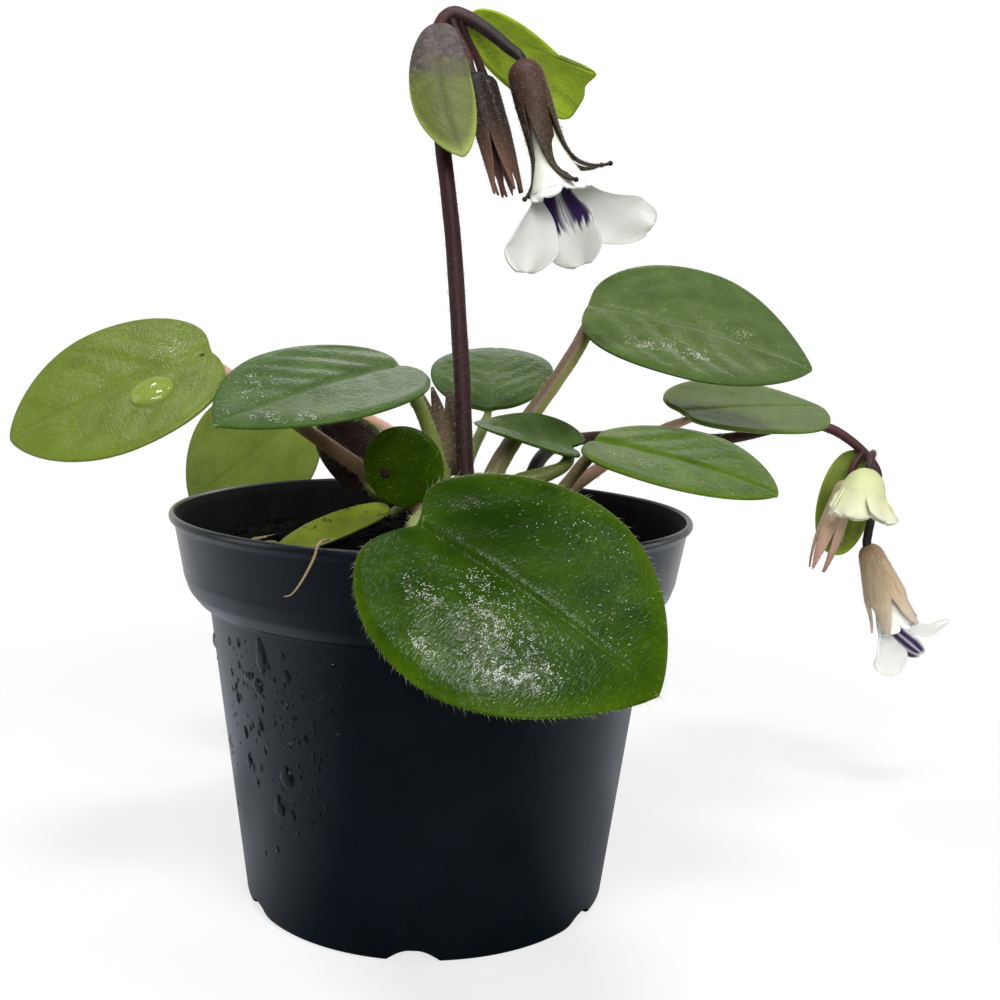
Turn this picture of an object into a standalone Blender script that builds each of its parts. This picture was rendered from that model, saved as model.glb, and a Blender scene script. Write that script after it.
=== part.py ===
# Potted chirita: one small violet-like house plant, flowering, in a black nursery pot of peat.
# The pot's underside stands on the floor at Z = 0, and the pot's axis is the Z axis.
# Lengths below are millimetres and angles are degrees; mm() turns a length into metres.
# A heading is measured on the floor from +X towards +Y, and the plant is seen from -Y.
import math

import bmesh
import bpy
from mathutils import Vector, noise

OBJECT_NAME = "potted_chirita"
GAP = 0.3                     # clearance between pieces that touch on the real plant
MERGE = 0.02                  # points closer than this are one point

# Pot: a 4 inch nursery pot with a rolled lip, a deep collar and a tapered body
POT_HEIGHT = 77.4
LIP_RADIUS = 51.0
LIP_HEIGHT = 1.5
COLLAR_TOP_RADIUS = 50.0
COLLAR_FOOT_RADIUS = 48.3
COLLAR_FOOT_Z = 65.5
FOOT_CURVE_RADIUS = 47.3      # half way round the curve of the collar's foot
FOOT_CURVE_Z = 62.6
STEP_RADIUS = 45.4            # where the collar's rounded foot turns in to the body
STEP_Z = 60.2
BODY_TOP_RADIUS = 43.4
BODY_TOP_Z = 59.4
BASE_RADIUS = 35.6
POT_WALL = 1.2
FLOOR_THICKNESS = 1.4
POT_STEPS = 48
NOTCH_COUNT = 6               # arched drain notches round the foot
NOTCH_WIDTH = 10.0
NOTCH_RISE = 2.6
NOTCH_REACH = 4.5             # how far a notch runs in from the foot's edge
NOTCH_HEADING = -93.0
NOTCH_SIDES = 32

# Peat: a filled plug, mounded a little round the crown
SOIL_EDGE_Z = 66.5
SOIL_CENTRE_Z = 69.0
SOIL_LUMP = 1.3
SOIL_RINGS = 8
SOIL_STEPS = 40

# Crown: the short stout stem in the middle of the rosette
CROWN_X, CROWN_Y = 9.0, 2.0
CROWN_RADIUS = 6.5
CROWN_FOOT_Z = 52.0
CROWN_TOP_Z = 84.5
CROWN_STEPS = 20

LEAF_THICKNESS = 1.2
YOUNG_LEAF_THICKNESS = 0.9
LEAF_COLUMNS = 28             # points round a leaf's edge
LEAF_RINGS = 4                # rings from the petiole out to the edge
NOTCH_SPREAD = 0.13           # width of the notch at a leaf's base, as a share of the leaf's width
NOTCH_KEEP = 0.04             # blade left behind the petiole, as a share of the leaf's length

PETIOLE_SEGMENTS = 7
PETIOLE_PULL = 0.30                     # how far a petiole holds its first and last direction
PETIOLE_LEVELS = (73.4, 77.6, 81.8)     # heights at which petioles leave the crown

# Flowers: where each stalk ends, and the way the flower on it points
BLOOM_WALL = 0.7
FLOWER_SEAT = GAP + BLOOM_WALL / 2 + 0.1      # from a stalk's end to the middle of the flower's wall
OPEN_FLOWER_TOP = (14.0, -7.0, 162.9)
OPEN_AXIS = (8.0, -2.4, -24.5)
FIRST_CALYX_TOP = (4.9, -7.7, 160.2)
FIRST_CALYX_AXIS = (7.2, -1.0, -22.6)
SECOND_CALYX_TOP = (7.2, -2.9, 160.6)
SECOND_CALYX_AXIS = (6.6, 1.4, -22.0)
LOW_FLOWER_TOP = (103.9, 48.0, 64.6)
LOW_AXIS = (9.0, -2.0, -23.5)
BUD_TOP = (98.8, 48.5, 79.8)
BUD_AXIS = (-6.8, -0.6, -22.4)
CREAM_TOP = (100.1, 38.4, 83.9)
CREAM_AXIS = (-1.4, -0.8, -6.0)

LEAF_GREEN = (0.060, 0.150, 0.022)
PALE_GREEN = (0.230, 0.360, 0.080)
YOUNG_GREEN = (0.200, 0.300, 0.030)
BROWN_LEAF = (0.110, 0.070, 0.060)
PETIOLE_GREEN = (0.200, 0.240, 0.060)
PETIOLE_PINK = (0.260, 0.130, 0.090)
MAROON = (0.060, 0.022, 0.026)
BRACT_GREEN = (0.170, 0.300, 0.040)
PETAL_WHITE = (0.850, 0.840, 0.800)
BEIGE = (0.420, 0.330, 0.230)
BLACK_PLASTIC = (0.012, 0.014, 0.018)
PEAT = (0.030, 0.020, 0.014)
ROOT_TAN = (0.380, 0.290, 0.160)


def mm(length):
    return length * 0.001


def point(x, y, z):
    return Vector((mm(x), mm(y), mm(z)))


def heading_vector(heading, elevation=0.0):
    """Unit vector at a heading on the floor and an elevation above it."""
    a, e = math.radians(heading), math.radians(elevation)
    return Vector((math.cos(e) * math.cos(a), math.cos(e) * math.sin(a), math.sin(e)))


def start_collections():
    for old in list(bpy.data.objects):
        bpy.data.objects.remove(old, do_unlink=True)
    parts = bpy.data.collections.new(OBJECT_NAME)
    cutters = bpy.data.collections.new("cutters")
    bpy.context.scene.collection.children.link(parts)
    bpy.context.scene.collection.children.link(cutters)
    return parts, cutters


PARTS, CUTTERS = start_collections()


def material(name, colour, roughness):
    """One Principled material for each sub-part."""
    made = bpy.data.materials.new(name)
    made.use_nodes = True
    shader = made.node_tree.nodes["Principled BSDF"]
    shader.inputs["Base Color"].default_value = (*colour, 1.0)
    shader.inputs["Roughness"].default_value = roughness
    shader.inputs["Metallic"].default_value = 0.0
    made.diffuse_color = (*colour, 1.0)
    return made


def object_from_bmesh(name, bm, colour, roughness=0.5):
    mesh = bpy.data.meshes.new(name)
    bm.to_mesh(mesh)
    bm.free()
    made = bpy.data.objects.new(name, mesh)
    made.data.materials.append(material(name, colour, roughness))
    PARTS.objects.link(made)
    return made


def evaluated_mesh(source):
    bpy.context.view_layer.update()
    depsgraph = bpy.context.evaluated_depsgraph_get()
    return bpy.data.meshes.new_from_object(source.evaluated_get(depsgraph))


def apply_modifiers(piece):
    mesh = evaluated_mesh(piece)
    piece.modifiers.clear()
    piece.data = mesh


def smooth(piece, angle=40.0):
    piece.data.shade_smooth()
    piece.data.set_sharp_from_angle(angle=math.radians(angle))


def turned(name, profile, steps, colour, roughness):
    """Solid of revolution: the profile runs from the axis, up the inside and down the outside."""
    bm = bmesh.new()
    verts = [bm.verts.new((mm(radius), 0.0, mm(z))) for radius, z in profile]
    for first, second in zip(verts, verts[1:]):
        bm.edges.new((first, second))
    piece = object_from_bmesh(name, bm, colour, roughness)
    screw = piece.modifiers.new("screw", "SCREW")
    screw.steps = steps
    screw.render_steps = steps
    screw.use_merge_vertices = True
    screw.merge_threshold = 0.00002
    apply_modifiers(piece)
    return piece


def cut(piece, cutters):
    """Takes every cutter in the list out of the piece."""
    for cutter in cutters:
        cutter.hide_render = True
        cutter.display_type = "WIRE"
        hole = piece.modifiers.new("cut", "BOOLEAN")
        hole.operation = "DIFFERENCE"
        hole.solver = "EXACT"
        hole.object = cutter
    apply_modifiers(piece)


def cylinder_cutter(name, radius, depth, place, rotation, sides):
    bm = bmesh.new()
    bmesh.ops.create_cone(bm, cap_ends=True, segments=sides, radius1=mm(radius),
                          radius2=mm(radius), depth=mm(depth))
    mesh = bpy.data.meshes.new(name)
    bm.to_mesh(mesh)
    bm.free()
    made = bpy.data.objects.new(name, mesh)
    made.location = place
    made.rotation_euler = rotation
    CUTTERS.objects.link(made)
    return made


def body_radius(z):
    """Outer radius of the pot's tapered body."""
    return BASE_RADIUS + (BODY_TOP_RADIUS - BASE_RADIUS) * z / BODY_TOP_Z


def make_pot():
    outside = [
        (LIP_RADIUS - 0.4, POT_HEIGHT), (LIP_RADIUS, POT_HEIGHT - 0.4),
        (LIP_RADIUS, POT_HEIGHT - LIP_HEIGHT), (COLLAR_TOP_RADIUS, POT_HEIGHT - LIP_HEIGHT - 0.6),
        (COLLAR_FOOT_RADIUS, COLLAR_FOOT_Z), (FOOT_CURVE_RADIUS, FOOT_CURVE_Z), (STEP_RADIUS, STEP_Z),
        (BODY_TOP_RADIUS, BODY_TOP_Z), (BASE_RADIUS + 0.3, 1.2), (BASE_RADIUS - 0.6, 0.0), (0.0, 0.0),
    ]
    inside = [
        (0.0, FLOOR_THICKNESS), (body_radius(FLOOR_THICKNESS) - POT_WALL, FLOOR_THICKNESS),
        (BODY_TOP_RADIUS - POT_WALL, BODY_TOP_Z + 0.8), (STEP_RADIUS - 0.4, STEP_Z + 1.2),
        (COLLAR_FOOT_RADIUS - POT_WALL, COLLAR_FOOT_Z + 0.4),
        (COLLAR_TOP_RADIUS - POT_WALL, POT_HEIGHT - LIP_HEIGHT - 0.6),
        (LIP_RADIUS - POT_WALL, POT_HEIGHT - 0.3), (LIP_RADIUS - POT_WALL + 0.3, POT_HEIGHT),
    ]
    pot = turned("pot", inside + outside, POT_STEPS, BLACK_PLASTIC, 0.35)
    arch_radius = (NOTCH_WIDTH ** 2 / 4 + NOTCH_RISE ** 2) / (2 * NOTCH_RISE)
    cutters = []
    for index in range(NOTCH_COUNT):
        heading = NOTCH_HEADING + index * 360.0 / NOTCH_COUNT
        length = 2 * NOTCH_REACH
        place = heading_vector(heading) * mm(BASE_RADIUS)
        place.z = mm(NOTCH_RISE - arch_radius)
        turn = (0.0, math.radians(90), math.radians(heading))
        cutters.append(cylinder_cutter("notch_cutter_%d" % index, arch_radius, length, place, turn,
                                       NOTCH_SIDES))
    cut(pot, cutters)
    smooth(pot, 30)


def soil_outline():
    """Outer radius of the peat at the heights where the pot's inside turns."""
    return [
        (SOIL_EDGE_Z, COLLAR_FOOT_RADIUS - POT_WALL - GAP),
        (COLLAR_FOOT_Z + 0.4, COLLAR_FOOT_RADIUS - POT_WALL - GAP - 0.1),
        (STEP_Z + 1.6, STEP_RADIUS - 0.8 - GAP),
        (BODY_TOP_Z + 1.0, BODY_TOP_RADIUS - POT_WALL - 2 * GAP),
        (FLOOR_THICKNESS + GAP, body_radius(FLOOR_THICKNESS) - POT_WALL - GAP - 0.1),
    ]


def make_soil():
    edge = soil_outline()
    top = []
    for ring in range(SOIL_RINGS):
        share = ring / SOIL_RINGS
        top.append((edge[0][1] * share, SOIL_CENTRE_Z + (SOIL_EDGE_Z - SOIL_CENTRE_Z) * share ** 2))
    profile = top + [(radius, z) for z, radius in edge] + [(0.0, FLOOR_THICKNESS + GAP)]
    soil = turned("soil", profile, SOIL_STEPS, PEAT, 0.95)
    for vertex in soil.data.vertices:
        radius = math.hypot(vertex.co.x, vertex.co.y)
        if vertex.co.z > mm(SOIL_EDGE_Z - 0.5) and radius < mm(edge[0][1] - 1.0):
            lump = noise.noise(vertex.co * 210.0) + 0.5 * noise.noise(vertex.co * 520.0)
            vertex.co.z += mm(SOIL_LUMP) * lump
    depth = CROWN_TOP_Z - CROWN_FOOT_Z
    hole = cylinder_cutter("crown_hole", CROWN_RADIUS + GAP, depth,
                           point(CROWN_X, CROWN_Y, CROWN_FOOT_Z - GAP + depth / 2), (0, 0, 0), CROWN_STEPS)
    cut(soil, [hole])


def make_crown():
    radius = CROWN_RADIUS
    profile = [(0.0, CROWN_TOP_Z), (radius * 0.55, CROWN_TOP_Z - 0.5), (radius * 0.88, CROWN_TOP_Z - 2.0),
               (radius, CROWN_TOP_Z - 4.0), (radius, CROWN_FOOT_Z + 4.0), (radius * 0.7, CROWN_FOOT_Z),
               (0.0, CROWN_FOOT_Z)]
    crown = turned("crown", profile, CROWN_STEPS, PETIOLE_GREEN, 0.6)
    crown.location = point(CROWN_X, CROWN_Y, 0.0)
    smooth(crown)


class Leaf:
    """A leaf's blade: where its petiole joins it, how it lies and how it bends."""

    def __init__(self, name, base, heading, rise, roll, length, width, cup=0.05, arch=0.08, twist=0.0,
                 tip=1.45, shoulder=0.82, lobe=0.10, colour=LEAF_GREEN, thickness=LEAF_THICKNESS,
                 columns=LEAF_COLUMNS):
        self.name, self.base, self.colour = name, point(*base), colour
        self.length, self.width, self.thickness, self.columns = length, width, thickness, columns
        self.cup, self.arch, self.twist = cup, arch, twist
        self.tip, self.shoulder, self.lobe = tip, shoulder, lobe
        self.along = heading_vector(heading, rise)
        level = heading_vector(heading + 90.0)
        upright = self.along.cross(level)
        turn = math.radians(roll)
        self.across = level * math.cos(turn) + upright * math.sin(turn)
        self.normal = self.along.cross(self.across)

    def outline(self, turn):
        """Edge of the flat blade: turn runs from -1 at the notch through 0 at the tip to +1."""
        angle = math.pi * abs(turn)
        side = 1.0 if turn >= 0 else -1.0
        power = self.tip if angle < math.pi / 2 else self.shoulder
        y = self.width / 2 * max(math.sin(angle), 0.0) ** power
        x = self.length * ((1 - self.lobe) / 2 + (1 + self.lobe) / 2 * math.cos(angle))
        if angle > math.pi / 2:
            notch = max(self.lobe - NOTCH_KEEP, 0.0) * self.length
            x += notch * math.exp(-(y / (NOTCH_SPREAD * self.width)) ** 2)
        return x, side * y

    def height(self, x, y):
        """Height of the bent blade above its flat plane."""
        half = self.width / 2
        bend = self.cup * y * y / half - self.arch * max(x, 0.0) ** 2 / self.length
        return bend + self.twist * x * y / half

    def place(self, x, y):
        local = self.along * mm(x) + self.across * mm(y) + self.normal * mm(self.height(x, y))
        return self.base + local

    def build(self):
        bm = bmesh.new()
        bmesh.ops.create_grid(bm, x_segments=self.columns, y_segments=LEAF_RINGS, size=1.0)
        for vertex in bm.verts:
            edge_x, edge_y = self.outline(vertex.co.x)
            share = ((vertex.co.y + 1.0) / 2) ** 0.9
            vertex.co = self.place(edge_x * share, edge_y * share)
        bmesh.ops.remove_doubles(bm, verts=bm.verts, dist=mm(MERGE))
        bmesh.ops.triangulate(bm, faces=bm.faces)
        bmesh.ops.recalc_face_normals(bm, faces=bm.faces)
        blade = object_from_bmesh(self.name, bm, self.colour, 0.35)
        wall = blade.modifiers.new("thickness", "SOLIDIFY")
        wall.thickness = mm(self.thickness)
        wall.offset = 0.0
        blade.data.shade_smooth()
        return blade


def tube(name, centres, radii, colour):
    """Round stalk through the centres, as a closed mesh."""
    curve = bpy.data.curves.new(name, "CURVE")
    curve.dimensions = "3D"
    curve.bevel_depth = mm(1.0)
    curve.bevel_resolution = 2
    curve.use_fill_caps = True
    spline = curve.splines.new("POLY")
    spline.points.add(len(centres) - 1)
    for spline_point, centre, radius in zip(spline.points, centres, radii):
        spline_point.co = (*centre, 1.0)
        spline_point.radius = radius
    drawn = bpy.data.objects.new(name + "_curve", curve)
    CUTTERS.objects.link(drawn)
    mesh = evaluated_mesh(drawn)
    bpy.data.objects.remove(drawn, do_unlink=True)
    bm = bmesh.new()
    bm.from_mesh(mesh)
    bmesh.ops.remove_doubles(bm, verts=bm.verts, dist=mm(MERGE))
    bmesh.ops.recalc_face_normals(bm, faces=bm.faces)
    made = object_from_bmesh(name, bm, colour)
    smooth(made, 60)
    return made


def bend(start, start_pull, end, end_pull, segments):
    """Points on the cubic curve that leaves start along one pull and meets end along the other."""
    centres = []
    for index in range(segments + 1):
        t = index / segments
        first, second = start + start_pull, end - end_pull
        centres.append(start * (1 - t) ** 3 + first * 3 * t * (1 - t) ** 2
                       + second * 3 * t * t * (1 - t) + end * t ** 3)
    return centres


def crown_side(heading, z, stand_off):
    """Point beside the crown, the stand-off away from its skin."""
    out = heading_vector(heading) * mm(CROWN_RADIUS + stand_off)
    return point(CROWN_X, CROWN_Y, z) + out


def make_petiole(leaf, heading, z, radii, colour, lift=35.0, follow=0.5, side=-1.0):
    """Petiole from the crown's side to just off the blade's underside, or its upper side if side is 1.

    Follow turns its end along the midrib.
    """
    start = crown_side(heading, z, GAP + 0.2)
    chord = leaf.base - start
    arrive = (leaf.along * follow + chord.normalized() * (1 - follow)).normalized()
    rim = radii[1] * math.sqrt(1.0 - arrive.dot(leaf.normal) ** 2)
    end = leaf.base + leaf.normal * side * mm(leaf.thickness / 2 + GAP + rim) - leaf.along * mm(0.5)
    reach = chord.length
    radii_list = []
    for index in range(PETIOLE_SEGMENTS + 1):
        radii_list.append(radii[0] + (radii[1] - radii[0]) * index / PETIOLE_SEGMENTS)
    centres = bend(start, heading_vector(heading, lift) * reach * PETIOLE_PULL,
                   end, arrive * reach * PETIOLE_PULL, PETIOLE_SEGMENTS)
    flat_start = heading_vector(heading) * mm(1.0)
    centres.insert(1, start + flat_start)
    radii_list.insert(1, radii[0])
    return tube(leaf.name.replace("leaf", "petiole"), centres, radii_list, colour)


class Bloom:
    """A tube that opens into lobes, about an axis: a corolla, or a calyx with its sepals.

    A lobe is (angle, length, flare, half-width, swing, turn). The angle runs from the right round
    the far side, the flare leans the lobe outwards, the swing carries its end round the axis and
    the turn twists it about its own length.
    """

    def __init__(self, name, base, axis, tube_length, radii, lobes, colour, petals=False, closed=True,
                 swell=1.0, right=(1, 0, 0), columns=2, tube_rows=3, lobe_rows=5):
        self.name, self.base, self.colour = name, point(*base), colour
        self.axis = Vector(axis).normalized()
        self.right = (Vector(right) - self.axis * Vector(right).dot(self.axis)).normalized()
        self.away = self.right.cross(self.axis)
        self.tube_length, self.radii, self.lobes, self.swell = tube_length, radii, lobes, swell
        self.petals, self.closed = petals, closed
        self.columns, self.tube_rows, self.lobe_rows = columns, tube_rows, lobe_rows

    def radius(self, share):
        """Radius of the tube at a share of its length; a closed base is rounded in to the axis."""
        start, end = self.radii
        full = start + (end - start) * share ** self.swell
        if not self.closed:
            return full
        rise = min(share * self.tube_length / start, 1.0)
        return full * math.sqrt(1.0 - (1.0 - rise) ** 2)

    def outward(self, angle):
        a = math.radians(angle)
        return self.right * math.cos(a) + self.away * math.sin(a)

    def lobe_width(self, share, root, widest):
        """Half the lobe's width at a share of its length."""
        if self.petals:
            full = root + (widest - root) * math.sin(math.pi / 2 * min(share / 0.55, 1.0))
            return full * math.sqrt(max(1.0 - max(share - 0.5, 0.0) ** 2 / 0.26, 0.04))
        narrow = widest + (root - widest) * max(1.0 - share / 0.25, 0.0)
        return narrow * (1.0 - 0.78 * share ** 1.5)

    def point_at(self, lobe, across, row):
        angle, length, flare, widest, swing, turn = lobe
        half_sector = 180.0 / len(self.lobes)
        if row <= self.tube_rows:
            share = (row / self.tube_rows) ** (1.6 if self.closed else 1.0)
            out = self.outward(angle + across * half_sector)
            return self.base + self.axis * mm(self.tube_length * share) + out * mm(self.radius(share))
        share = (row - self.tube_rows) / self.lobe_rows
        out = self.outward(angle + swing * min(share * 2.0, 1.0))
        side = out.cross(self.axis)
        root = self.radii[1] * math.sin(math.radians(half_sector))
        lean = math.radians(flare) * share ** (0.6 if self.petals else 1.6)
        forward = self.axis * math.cos(lean) + out * math.sin(lean)
        twist = math.radians(turn) * min(share * 1.5, 1.0)
        side = side * math.cos(twist) + forward.cross(side) * math.sin(twist)
        curl = self.radii[1] * (1 - math.cos(math.radians(across * half_sector))) * (1 - share)
        rim = self.outward(angle) * mm(self.radii[1] - curl)
        centre = self.base + self.axis * mm(self.tube_length) + rim
        half = self.lobe_width(share, root, widest)
        return centre + forward * mm(length * share) + side * mm(across * half)

    def build(self):
        bm = bmesh.new()
        rows = self.tube_rows + self.lobe_rows
        for lobe in self.lobes:
            grid = bmesh.ops.create_grid(bm, x_segments=self.columns, y_segments=rows, size=1.0)
            for vertex in grid["verts"]:
                row = round((vertex.co.y + 1.0) / 2 * rows)
                vertex.co = self.point_at(lobe, vertex.co.x, row)
        bmesh.ops.remove_doubles(bm, verts=bm.verts, dist=mm(MERGE))
        bmesh.ops.triangulate(bm, faces=bm.faces)
        bmesh.ops.recalc_face_normals(bm, faces=bm.faces)
        flower = object_from_bmesh(self.name, bm, self.colour)
        wall = flower.modifiers.new("thickness", "SOLIDIFY")
        wall.thickness = mm(BLOOM_WALL)
        wall.offset = 0.0
        flower.data.shade_smooth()
        return flower


def fuse(name, pieces, colour):
    """Joins stalks that grow from each other into one body."""
    main = pieces[0]
    for other in pieces[1:]:
        join = main.modifiers.new("join", "BOOLEAN")
        join.operation = "UNION"
        join.solver = "EXACT"
        join.object = other
    apply_modifiers(main)
    for other in pieces[1:]:
        bpy.data.objects.remove(other, do_unlink=True)
    main.name = name
    main.data.materials.clear()
    main.data.materials.append(material(name, colour, 0.5))
    smooth(main, 60)
    return main


def smooth_points(stations, per_span):
    """Catmull-Rom points through hand-chosen stations."""
    padded = [stations[0]] + list(stations) + [stations[-1]]
    centres = []
    for index in range(1, len(padded) - 2):
        a, b, c, d = (Vector(padded[index + k]) for k in (-1, 0, 1, 2))
        for step in range(per_span):
            t = step / per_span
            centres.append(0.5 * (2 * b + (c - a) * t + (2 * a - 5 * b + 4 * c - d) * t * t
                                  + (3 * b - a - 3 * c + d) * t ** 3))
    centres.append(Vector(stations[-1]))
    return [point(*centre) for centre in centres]


def stalk(name, stations, first_radius, last_radius, colour, per_span=2):
    centres = smooth_points(stations, per_span)
    last = len(centres) - 1
    radii = [first_radius + (last_radius - first_radius) * index / last for index in range(last + 1)]
    return tube(name, centres, radii, colour)


def make_leaves():
    """Each leaf with its petiole, from the big outer ones in to the young ones at the crown."""
    low, middle, high = PETIOLE_LEVELS
    front = Leaf("leaf_front", (-1.5, -52.5, 81.6), -37, -19, 34, 45, 45, cup=-0.05, arch=0.16,
                 twist=-0.03, tip=1.6, shoulder=1.1, lobe=0.19)
    far_left = Leaf("leaf_far_left", (-43.0, -11.4, 106.7), 196, -22, -35, 37.5, 35.5, cup=0.04,
                    arch=0.07, twist=0.02, tip=1.4, lobe=0.08, colour=PALE_GREEN)
    left = Leaf("leaf_left", (-8.0, -14.5, 105.5), 219, -10, -15, 37.5, 35.5, cup=0.06, arch=0.09,
                twist=0.03, tip=1.65, shoulder=0.9)
    back_left = Leaf("leaf_back_left", (-31.0, 55.0, 90.4), 186, -36, -50, 33.9, 36.5, cup=0.06, tip=1.3,
                     shoulder=0.85, lobe=0.04, colour=PALE_GREEN)
    back = Leaf("leaf_back", (11.0, 21.5, 96.6), 84, 31, 0, 27, 27, cup=0.06, arch=0.10, tip=1.2,
                shoulder=0.95, lobe=0.05)
    curled = Leaf("leaf_curled", (26.7, 4.8, 89.9), 172, 12, -25, 19.5, 14.6, cup=0.30, arch=0.0,
                  twist=0.1, lobe=0.2, thickness=YOUNG_LEAF_THICKNESS, columns=24)
    right = Leaf("leaf_right", (31.3, -9.8, 92.2), -28, -7, 11, 35.1, 33, cup=0.06, arch=0.09, tip=1.48,
                 shoulder=0.91, lobe=0.07)
    top_right = Leaf("leaf_top_right", (32.7, 15.8, 118.2), -15, -9, 32, 45.6, 43.1, cup=0.08, arch=0.12,
                     twist=-0.05, tip=1.65, shoulder=0.79, lobe=0.05)
    back_right = Leaf("leaf_back_right", (57.5, 37.8, 95.3), 22, 3, 15, 37.5, 36.1, cup=0.05, arch=0.03,
                      twist=0.02, tip=1.44, shoulder=0.83, colour=PALE_GREEN)
    round_young = Leaf("leaf_young_round", (-2.5, -17.5, 81.5), 185, 62, 80, 14.5, 14.5, cup=0.10,
                       arch=0.05, tip=1.0, shoulder=0.9, lobe=0.05, thickness=YOUNG_LEAF_THICKNESS,
                       columns=22)
    narrow_young = Leaf("leaf_young_narrow", (-8.5, -14.0, 79.5), 208, -16, -30, 24, 6.5, cup=0.1,
                        arch=0.05, tip=1.2, lobe=0.0, colour=YOUNG_GREEN, thickness=YOUNG_LEAF_THICKNESS,
                        columns=18)
    brown_young = Leaf("leaf_young_brown", (-12.5, 5.0, 80.5), 178, 55, 75, 17, 14, cup=0.45, arch=0.05,
                       tip=1.2, lobe=0.0, colour=BROWN_LEAF, thickness=YOUNG_LEAF_THICKNESS, columns=20)
    for leaf in (front, far_left, left, back_left, back, curled, right, top_right, back_right,
                 round_young, narrow_young, brown_young):
        leaf.build()
    make_petiole(front, -102, low, (1.9, 1.3), PETIOLE_GREEN)
    make_petiole(far_left, 182, low, (1.8, 1.3), PETIOLE_PINK, follow=0.0)
    make_petiole(left, 225, middle, (1.6, 1.3), PETIOLE_GREEN, lift=55)
    make_petiole(back_left, 120, low, (1.7, 1.2), PETIOLE_PINK, follow=0.7)
    make_petiole(back, 118, middle, (1.6, 1.1), PETIOLE_GREEN, lift=60)
    make_petiole(curled, 5, high, (1.9, 1.3), PETIOLE_GREEN)
    make_petiole(right, -22, low, (1.8, 1.2), PETIOLE_PINK, lift=15, follow=0.1)
    make_petiole(top_right, 78, middle, (2.0, 1.6), PETIOLE_GREEN, lift=50, follow=-0.25)
    make_petiole(back_right, 38, low, (1.7, 1.2), PETIOLE_PINK, lift=12)
    make_petiole(round_young, 282, high, (1.3, 0.9), PETIOLE_GREEN, side=1.0)
    make_petiole(narrow_young, 193, (middle + high) / 2, (1.0, 0.8), PETIOLE_GREEN, lift=10)
    make_petiole(brown_young, 158, middle, (1.3, 0.9), PETIOLE_GREEN, lift=10)


def make_bud_cluster():
    """Hairy pointed buds on top of the crown."""
    lobes = [(18 + 72 * index, 9.0 + 2.0 * (index % 2), 10, 1.5, 0, 0) for index in range(5)]
    Bloom("bud_cluster", (CROWN_X - 5.0, CROWN_Y + 1.0, CROWN_TOP_Z - 0.4), (-0.28, 0.0, 1.0), 7.0,
          (3.4, 3.4), lobes, BROWN_LEAF, lobe_rows=4).build()


def make_main_scape():
    """Tall flower stalk, with a short pedicel for the open flower and one for each closed calyx."""
    stations = [(6.6, -6.3, 77.6), (6.5, -6.4, 79.4), (5.8, -6.6, 88.0), (4.6, -6.6, 106.0),
                (2.4, -6.6, 130.0), (0.2, -6.6, 146.0), (-1.2, -6.6, 157.0), (-1.6, -6.6, 163.5),
                (-0.6, -6.6, 168.4), (2.0, -6.6, 170.2), (7.0, -6.6, 168.0), (12.0, -6.7, 164.4),
                OPEN_FLOWER_TOP]
    main = stalk("scape_stem", stations, 1.65, 1.05, MAROON)
    first = stalk("scape_first", [(1.0, -6.6, 169.6), (2.4, -7.0, 166.5), (4.2, -7.5, 163.0),
                                  FIRST_CALYX_TOP], 0.9, 0.9, MAROON)
    second = stalk("scape_second", [(2.5, -6.6, 169.8), (3.9, -5.6, 166.5), (5.9, -3.9, 163.4),
                                    SECOND_CALYX_TOP], 0.9, 0.9, MAROON)
    fuse("scape_main", [main, first, second], MAROON)


def along(top, axis, distance):
    """Point at a distance from a stalk's end along a flower's axis."""
    step = Vector(axis).normalized() * distance
    return tuple(value + shift for value, shift in zip(top, step))


def sepals(length, flares, half_width):
    """Five sepals, the first at the far side."""
    return [(90 + 72 * index, length, flare, half_width, 0, 0) for index, flare in enumerate(flares)]


def make_open_flower():
    lobes = [(195, 17.0, 18, 1.8, -10, 0), (267, 17.0, 26, 1.8, 28, 0), (339, 16.5, 30, 1.6, 10, 0),
             (51, 16.0, 36, 1.6, -25, 0), (123, 16.0, 20, 1.8, 0, 0)]
    Bloom("calyx_open", along(OPEN_FLOWER_TOP, OPEN_AXIS, FLOWER_SEAT), OPEN_AXIS, 8.0, (3.1, 3.3), lobes,
          MAROON, lobe_rows=7).build()
    lobes = [(90, 14.0, 12, 5.4, -30, 0), (162, 13.5, 22, 4.6, 0, 60), (234, 1.5, 20, 3.3, 0, 0),
             (306, 1.5, 20, 3.3, 0, 0), (18, 15.5, 46, 5.2, 0, -60)]
    Bloom("corolla_open", along(OPEN_FLOWER_TOP, OPEN_AXIS, FLOWER_SEAT + 2.6), OPEN_AXIS, 22.0,
          (1.4, 5.4), lobes, PETAL_WHITE, petals=True, closed=False, swell=2.2, columns=4,
          tube_rows=5).build()


def make_closed_calyxes():
    for name, top, axis in (("calyx_first", FIRST_CALYX_TOP, FIRST_CALYX_AXIS),
                            ("calyx_second", SECOND_CALYX_TOP, SECOND_CALYX_AXIS)):
        Bloom(name, along(top, axis, FLOWER_SEAT), axis, 6.5, (2.0, 2.2),
              sepals(16.0, (3, -3, 6, 2, -3), 1.25), MAROON).build()


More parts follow.
